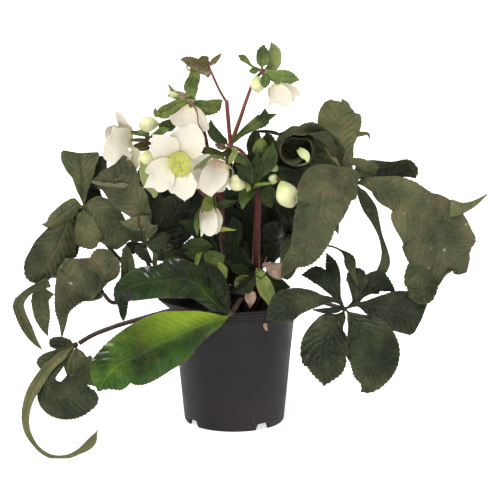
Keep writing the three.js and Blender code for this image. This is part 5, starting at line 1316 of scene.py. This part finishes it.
whorl("bracts_left", (-88, -35, 306), [
  blade([(-86, -38, 310), (-96, -39, 312), (-104, -40, 313), (-109, -40, 313)],
    [2, 2.9, 2.8, 2.1, 0.6], [(-0.2, 0, 1), (0, 0, 1), (0, 0, 1)], tone=0.52),
  blade([(-86, -36, 304), (-97, -38, 305), (-105, -39, 305), (-108, -40, 305)],
    [2, 2.4, 2.2, 1.6, 0.6], [(0, 0, 1), (0.2, 0, 1), (0, 0, 1)], tone=0.52, coat=(3, 3)),
  blade([(-87, -36, 299), (-96, -38, 297), (-104, -38, 298)], [2, 3.6, 3.6, 2.1],
    [(0.2, 0, 1), (0.2, 0, 1), (0.3, 0, 1)], tone=0.47, coat=(3, 3)),
  blade([(-79, -36, 310), (-71, -36, 315), (-66, -36, 316)], [2, 3.3, 4.1, 2.6],
    [(0.4, 0, -0.9), (0.4, 0, -0.9), (0.1, 0, -1)], tone=0.87),
  patch([(-76, -34, 317), (-68, -34, 319), (-61, -32, 320), (-57, -32, 321)], [4.2, 6, 6, 0.6],
    [(0.2, 0, -1), (0.1, 0, -1), (0.2, 0, -1)], tone=0.42),
  blade([(-87, -42, 313), (-93, -44, 315), (-97, -44, 315)], [2, 2.7, 3.3, 0.6],
    [(-0.4, 0, 0.9), (-0.2, 0, 1)], tone=1, coat=(1, 1)),
  patch([(-89, -52, 287), (-89, -58, 278), (-88, -62, 270), (-84, -62, 262), (-80, -60, 256),
    (-80, -60, 249)], [4.6, 5.7, 6, 5.5, 4.3, 2.3],
    [(-1, 0, 0), (-1, 0, -0.1), (-1, 0, 0), (-1, 0, 0)], tone=0.97, coat=(1, 1)),
])

whorl("bracts_fork", (-4, -36, 298), [
  blade([(-9, -38, 303), (-16, -40, 308), (-22, -40, 316), (-23, -40, 326)], [2, 4.4, 6, 4.9, 0.6],
    [(0.8, 0, 0.6), (0.8, 0, 0.6), (0.9, 0, 0.5)], tone=0.3),
  blade([(-11, -38, 290), (-22, -40, 292), (-30, -40, 294), (-35, -40, 292)], [2, 3, 4.9, 5.4, 0.6],
    [(0.1, 0, 1), (0, 0, 1), (0.2, 0, 1)], tone=0.2),
  blade([(6, -34, 309), (15, -34, 316), (23, -34, 321), (31, -34, 327), (32, -34, 337)],
    [2, 2.5, 4, 6, 7, 0.6], [(0.8, 0, -0.6), (0.7, 0, -0.7), (0.6, 0, -0.8), (0.7, 0, -0.7)],
    tone=0.35),
  patch([(30, -34, 326), (38, -34, 329), (44, -34, 331)], [4.7, 3, 0.6], (0.2, 0, -1), tone=0.4),
  blade([(-7, -38, 297), (-14, -40, 299), (-19, -40, 301)], [2, 2.6, 3.6, 0.6],
    [(0.4, 0, 0.9), (-0.4, 0, 0.9)], tone=0.35, coat=(3, 3)),
  blade([(2, -42, 294), (-1, -45, 288), (-5, -46, 282)], [2, 2.9, 3.5, 1.8],
    [(-0.9, 0, -0.3), (-1, 0, -0.2), (-0.8, 0, -0.6)], tone=0.7),
  blade([(4, -40, 288), (11, -42, 288), (14, -42, 287)], [2, 3.8, 6, 0.6], (0.2, 0, -1), tone=0.7,
    coat=(3, 3)),
  blade([(6, -46, 288), (14, -54, 282), (17, -56, 271), (19, -54, 263)], [2, 2.9, 4.3, 3.9, 0.6],
    [(-0.9, 0, -0.5), (-0.8, 0, -0.6), (-0.8, 0, -0.6)], tone=0.2),
  blade([(-3, -40, 287), (-4, -42, 275), (-4, -42, 262)], [2, 2.6, 2.5, 1.5],
    [(-1, 0, -0.2), (-1, 0, -0.1), (-1, 0, 0)], tone=0.1),
  patch([(-7, -60, 288), (-14, -70, 292), (-21, -77, 294), (-27, -83, 291), (-34, -86, 286),
    (-40, -87, 282)], [1.4, 1.6, 1.7, 1.9, 2.1, 1.5],
    [(0, 0, 1), (0.1, 0, 1), (0.2, 0, 1), (-0.1, 0, 0.9), (-0.4, 0, 0.9), (-0.5, 0, 0.9)], fold=-24,
    tone=0.62, teeth=0),
])

whorl("bracts_top", (29, -30, 375), [
  blade([(29, -30, 380), (30, -29, 388), (30, -28, 396), (31, -28, 401)], [2, 5.9, 7, 5.9, 0.6],
    [(1, 0, -0.1), (1, 0, -0.1), (1, 0, 0)], tone=0.48),
  blade([(40, -26, 379), (42, -24, 388), (41, -23, 396), (38, -22, 403)], [2, 5.3, 7, 6, 0.6],
    [(1, 0, -0.3), (1, 0, -0.2), (1, 0, -0.1)], tone=0.7, coat=(1, 1)),
  blade([(38, -32, 372), (47, -34, 369), (57, -36, 368), (67, -36, 366)], [2, 4.1, 8, 7, 0.6],
    [(-0.3, 0, -1), (0, 0, -1), (-0.1, 0, -1)], tone=0.78),
  blade([(18, -30, 380), (14, -29, 384), (9, -28, 388), (5, -28, 390)], [2, 1.1, 1.8, 3.5, 4],
    [(0.6, 0, 0.8), (0.6, 0, 0.8), (0.8, 0, 0.6), (0.6, 0, 0.8)], tone=0.53),
  blade([(22, -30, 375), (16, -30, 374)], [2, 3.5, 3.6], [(0.1, 0, 1), (-0.1, 0, 1)], tone=0.38),
  blade([(32, -36, 370), (32, -38, 362), (32, -38, 358)], [2, 3.4, 5.4, 3.6],
    [(-0.9, 0, 0.5), (-0.9, 0, 0.3), (-1, 0, -0.1)], tone=0.48),
])

whorl("bracts_stalk", (25, -34, 257), [
  blade([(23, -36, 285), (22, -35, 296), (22, -34, 307), (24, -33, 313)], [2, 3.1, 6, 9, 4.1],
    [(1, 0, -0.2), (1, 0, -0.2), (1, 0, -0.2), (1, 0, 0.1)], tone=0.12, quilt=0.5),
  blade([(34, -36, 284), (35, -37, 297), (35, -38, 307), (34, -38, 313)], [2, 2.6, 5.2, 10, 3.1],
    [(1, 0, 0), (1, 0, 0), (1, 0, -0.1), (1, 0, -0.2)], tone=0.25, quilt=0.5),
  blade([(28, -42, 287), (28, -45, 295), (28, -46, 305), (28, -46, 309)], [2, 2.6, 5.3, 9, 2.5],
    [(1, 0, 0), (1, 0, 0), (1, 0, 0), (1, 0, -0.1)], fold=-14, tone=0.42, quilt=0.5),
  blade([(21, -42, 261), (26, -45, 272), (36, -47, 285), (39, -48, 297), (40, -48, 304)],
    [2, 3.5, 6, 8, 7, 0.6], (1, 0, -0.2), tone=0.3, quilt=0.4),
  blade([(23, -42, 263), (23, -47, 277), (24, -49, 287), (24, -49, 293)], [2, 4.7, 5.6, 5.3, 0.6],
    [(1, 0, -0.1), (1, 0, -0.2), (1, 0, -0.2)], tone=0.15),
  blade([(35, -40, 267), (47, -42, 271), (58, -42, 271), (64, -42, 273)], [2, 3.4, 7, 7, 0.6],
    [(0, 0, -1), (0, 0, -1), (0.1, 0, -1)], tone=0.1),
  blade([(30, -38, 258), (35, -40, 247), (37, -40, 240), (39, -40, 235)], [2, 8, 9, 7, 0.6],
    [(-1, 0, -0.3), (-1, 0, -0.2), (-0.9, 0, -0.4)], tone=0.15),
  blade([(19, -40, 254), (12, -44, 249), (10, -46, 242), (9, -46, 235)], [2, 4.9, 7, 4.5, 0.6],
    [(-1, 0, 0.2), (-1, 0, 0.3), (-1, 0, 0.2)], tone=0.45),
  patch([(15, -52, 262), (15, -53, 258), (14, -52, 254)], [2, 3.3, 2], (-1, 0, 0), fold=-30,
    tone=0.95, teeth=0, coat=(1, 1), blunt=3),
  blade([(20, -42, 258), (29, -46, 261), (38, -48, 262)], [2, 2.6, 1.8, 1.3],
    [(0.2, 0, -1), (0.1, 0, -1), (0, 0, -1)], tone=0.7, teeth=0),
  blade([(17, -32, 259), (8, -30, 263), (7, -28, 278), (10, -28, 288)], [2, 8, 9, 8, 3.6],
    [(-0.5, 0, 0.8), (0.1, 0, -0.1), (0.7, 0, -0.7), (0.7, 0, -0.7)], tone=0.02),
  blade([(22, -30, 266), (21, -29, 279), (20, -28, 292)], [2, 7, 8, 7],
    [(1, 0, -0.1), (1, 0, -0.1), (1, 0, -0.2)], tone=0, blunt=5),
  blade([(36, -30, 267), (45, -30, 281), (49, -30, 296), (51, -30, 305)], [2, 7, 13, 14, 5.2],
    [(1, 0, 0), (1, 0, 0), (1, 0, -0.1), (1, 0, -0.2)], tone=0.02, blunt=5),
  blade([(12, -34, 249), (-1, -34, 247), (-8, -34, 243)], [2, 5.1, 7, 7],
    [(-0.8, 0, 0.6), (-0.8, 0, 0.6), (-0.6, 0, 0.8)], tone=0.02),
  blade([(18, -52, 264), (12, -56, 272), (8, -56, 278), (2, -56, 282)], [2, 1.6, 3.8, 7, 0.6],
    [(0.7, 0, 0.7), (0.7, 0, 0.7), (0.7, 0, 0.8)], tone=0.12),
  patch([(21, -30, 313), (29, -32, 313), (35, -34, 313), (43, -38, 312), (50, -42, 309)],
    [0.6, 1.6, 1.9, 1.9, 0.6], [(0.3, 0, -0.9), (0, 0, -1), (-0.2, 0, -1)], tone=0.05),
])

whorl("bracts_low_bloom", (-19, -46, 252), [
  blade([(-34, -54, 233), (-37, -56, 223), (-37, -56, 215), (-37, -56, 209)], [2, 1.5, 3, 3.1, 0.6],
    (-1, 0, 0), tone=0.6),
  blade([(-15, -56, 217), (-7, -56, 216), (3, -56, 215)], [2, 1.3, 2.6, 0.6], (-0.2, 0, -1),
    tone=0.85),
  blade([(-20, -48, 239), (-9, -44, 240), (5, -40, 243)], [2, 3.6, 4.2, 0.6],
    [(0, 0, -1), (-0.1, 0, -1)], tone=0.25),
  blade([(-25, -50, 245), (-26, -56, 238), (-25, -58, 235)], [2, 4.1, 6, 5.6],
    [(-1, 0, 0.1), (-1, 0, 0.1), (-1, 0, 0)], tone=1),
])

whorl("leaves_low", (24, -23, 167), [
  blade([(17, -36, 155), (10, -40, 156), (1, -40, 158)], [2, 4.3, 10, 7],
    [(0.3, 0, 1), (0.3, 0, 1), (0.2, 0, 1)], tone=0.6),
  blade([(28, -38, 162), (33, -46, 151), (37, -52, 142), (37, -54, 133)], [2, 4.6, 8, 7, 0.6],
    [(-1, 0, -0.2), (-1, 0, -0.1), (-1, 0, -0.2)], tone=0.55),
  blade([(15, -34, 166), (4, -36, 171), (-6, -36, 176)], [2, 3.3, 6, 0.6],
    [(0.5, 0, 0.8), (0.3, 0, 1)], tone=0.1),
  blade([(28, -36, 168), (24, -40, 165)], [2, 3.9, 7], [(-1, 0, -0.2), (-0.7, 0, 0.7)], tone=0.6),
  blade([(15, -30, 173), (4, -28, 184), (-2, -26, 195)], [2, 5.3, 9, 4.7],
    [(0.8, 0, 0.6), (0.8, 0, 0.7), (0.9, 0, 0.5)], tone=0.02),
  blade([(19, -40, 160), (8, -44, 151), (-4, -46, 148)], [2, 4.7, 7, 0.6], (-0.7, 0, 0.7),
    tone=0.1),
  blade([(17, -10, 163), (7, -14, 160), (-4, -14, 158), (-11, -14, 156)], [2, 4, 10, 13, 6],
    [(-0.1, 0, 1), (-0.1, 0, 1), (0, 0, 1), (0, 0, 1)], fold=0, tone=0.1),
  blade([(30, -20, 160), (40, -24, 153), (52, -26, 150), (59, -26, 149)], [2, 4.6, 7, 7, 0.6],
    [(0.1, 0, -1), (0, 0, -1), (-0.1, 0, -1)], fold=0, tone=0.2),
])

whorl("dry_leaves", (29, -22, 154), [
  blade([(15, -40, 149), (17, -46, 144), (17, -50, 136), (17, -50, 132)], [2, 1.5, 2.9, 6, 0.6],
    (-1, 0, 0)),
  blade([(32, -34, 174), (40, -36, 171), (46, -37, 169), (53, -36, 167)], [2, 1.3, 2.6, 8, 9],
    [(0, 0, -1), (0, 0, -1), (0.1, 0, -1), (0, 0, -1)], tone=0.4, blunt=5),
  patch([(32, -58, 118), (33, -58, 113), (35, -58, 110)], [1.9, 1.8, 0.6],
    [(-1, 0, -0.3), (-1, 0, -0.1)], teeth=0),
], (DRY, DRY, DRY), "dry_leaf")

whorl("leaves_centre", (-13, -25, 177), [
  blade([(-25, -42, 186), (-35, -48, 194), (-47, -48, 194), (-56, -46, 192)], [2, 5, 10, 11, 0.6],
    (0.4, 0, 0.9), tone=0.35),
  blade([(-31, -40, 171), (-46, -46, 183), (-60, -48, 186), (-72, -48, 182)], [2, 5, 10, 9, 0.6],
    [(0.6, 0, 0.8), (0.4, 0, 0.9), (0.4, 0, 0.9)], tone=0.12),
  patch([(-10, -54, 183), (-20, -56, 186), (-30, -56, 188)], [5.3, 8, 4.9],
    [(0.2, 0, 1), (0.2, 0, 1), (0.3, 0, 0.9)], tone=0.45),
  patch([(-18, -56, 179), (-11, -58, 173), (-7, -60, 166)], [4.8, 5.5, 0.6],
    [(-0.6, 0, -0.8), (-0.7, 0, -0.7)], tone=0.95),
  blade([(-34, -48, 190), (-38, -54, 180), (-43, -54, 169)], [2, 1.3, 2.7, 0.6],
    [(0.9, 0, 0.5), (-0.9, 0, -0.3)], tone=0.8),
  blade([(-4, -30, 187), (-3, -28, 201), (1, -26, 214), (-2, -26, 224)], [2, 5.7, 9, 9, 0.6],
    (1, 0, 0), tone=0),
  blade([(6, -24, 175), (6, -22, 187), (8, -20, 198)], [2, 6, 10, 6], (1, 0, 0), tone=0),
  blade([(-21, -44, 194), (-33, -42, 208), (-45, -40, 217), (-57, -38, 222)], [2, 2.6, 6, 7, 0.6],
    [(0.8, 0, 0.6), (0.7, 0, 0.7), (0.9, 0, 0.5)], tone=0.05),
  blade([(-13, -5, 179), (-16, -2, 189), (-18, 0, 202), (-18, 0, 213)], [2, 3.3, 8, 10, 5.2],
    (1, 0, 0), fold=0, tone=0.1),
])


# ---- floor, light and camera ---------------------------------------------------------------


def floor():
    bm = bmesh.new()
    bmesh.ops.create_grid(bm, x_segments=1, y_segments=1, size=24)
    mesh = bpy.data.meshes.new("floor")
    bm.to_mesh(mesh)
    bm.free()
    f = Finish("pale floor", Specular_IOR_Level=0.1, Emission_Color=(1, 1, 1, 1),
               Emission_Strength=0.7)
    cloud = f.clouds(0.6)
    colour = f.blend(cloud, shade("f6f6f5"), shade("f9f9f8"))
    mesh.materials.append(f.done(Base_Color=colour, Roughness=cloud * 0.1 + 0.8))
    piece = bpy.data.objects.new("floor", mesh)
    bpy.context.scene.collection.objects.link(piece)


def sky():
    """A white surrounding that is brighter above."""
    world = bpy.data.worlds.new("studio")
    bpy.context.scene.world = world
    graph = Graph(world, "Background")
    height = graph.parts(graph.add("ShaderNodeTexCoord", output="Generated"))[2]
    graph.wear(Color=(1, 1, 1, 1), Strength=height.rise(-0.1, 0.9, 0.1, 0.43, "LINEAR"))


def sun(name, place, strength, spread_deg):
    """A wide even light that shines from the given direction."""
    light = bpy.data.lights.new(name, "SUN")
    light.energy, light.angle = strength, math.radians(spread_deg)
    lit = bpy.data.objects.new(name, light)
    lit.rotation_euler = (-Vector(place)).to_track_quat("-Z", "Y").to_euler()
    bpy.context.scene.collection.objects.link(lit)


def camera(elevation, distance, aim, lens):
    eye = bpy.data.cameras.new("camera")
    eye.lens, eye.sensor_width, eye.clip_start, eye.clip_end = lens, 36, 0.05, 60
    seen = bpy.data.objects.new("camera", eye)
    aim = SETTLE @ Vector(aim)
    tilt = math.radians(elevation)
    seen.location = aim + Vector((0, -math.cos(tilt), math.sin(tilt))) * distance
    seen.rotation_euler = (aim - seen.location).to_track_quat("-Z", "Y").to_euler()
    bpy.context.scene.collection.objects.link(seen)
    bpy.context.scene.camera = seen


floor()
sky()
bpy.context.scene.view_settings.view_transform = "Standard"
sun("key", (-0.5, -0.66, 1.3), 3.1, 24)
sun("edge", (0.9, 0.3, 0.8), 0.5, 20)
camera(11.5, 2.0, (16.8, 0, 183), 137.15)
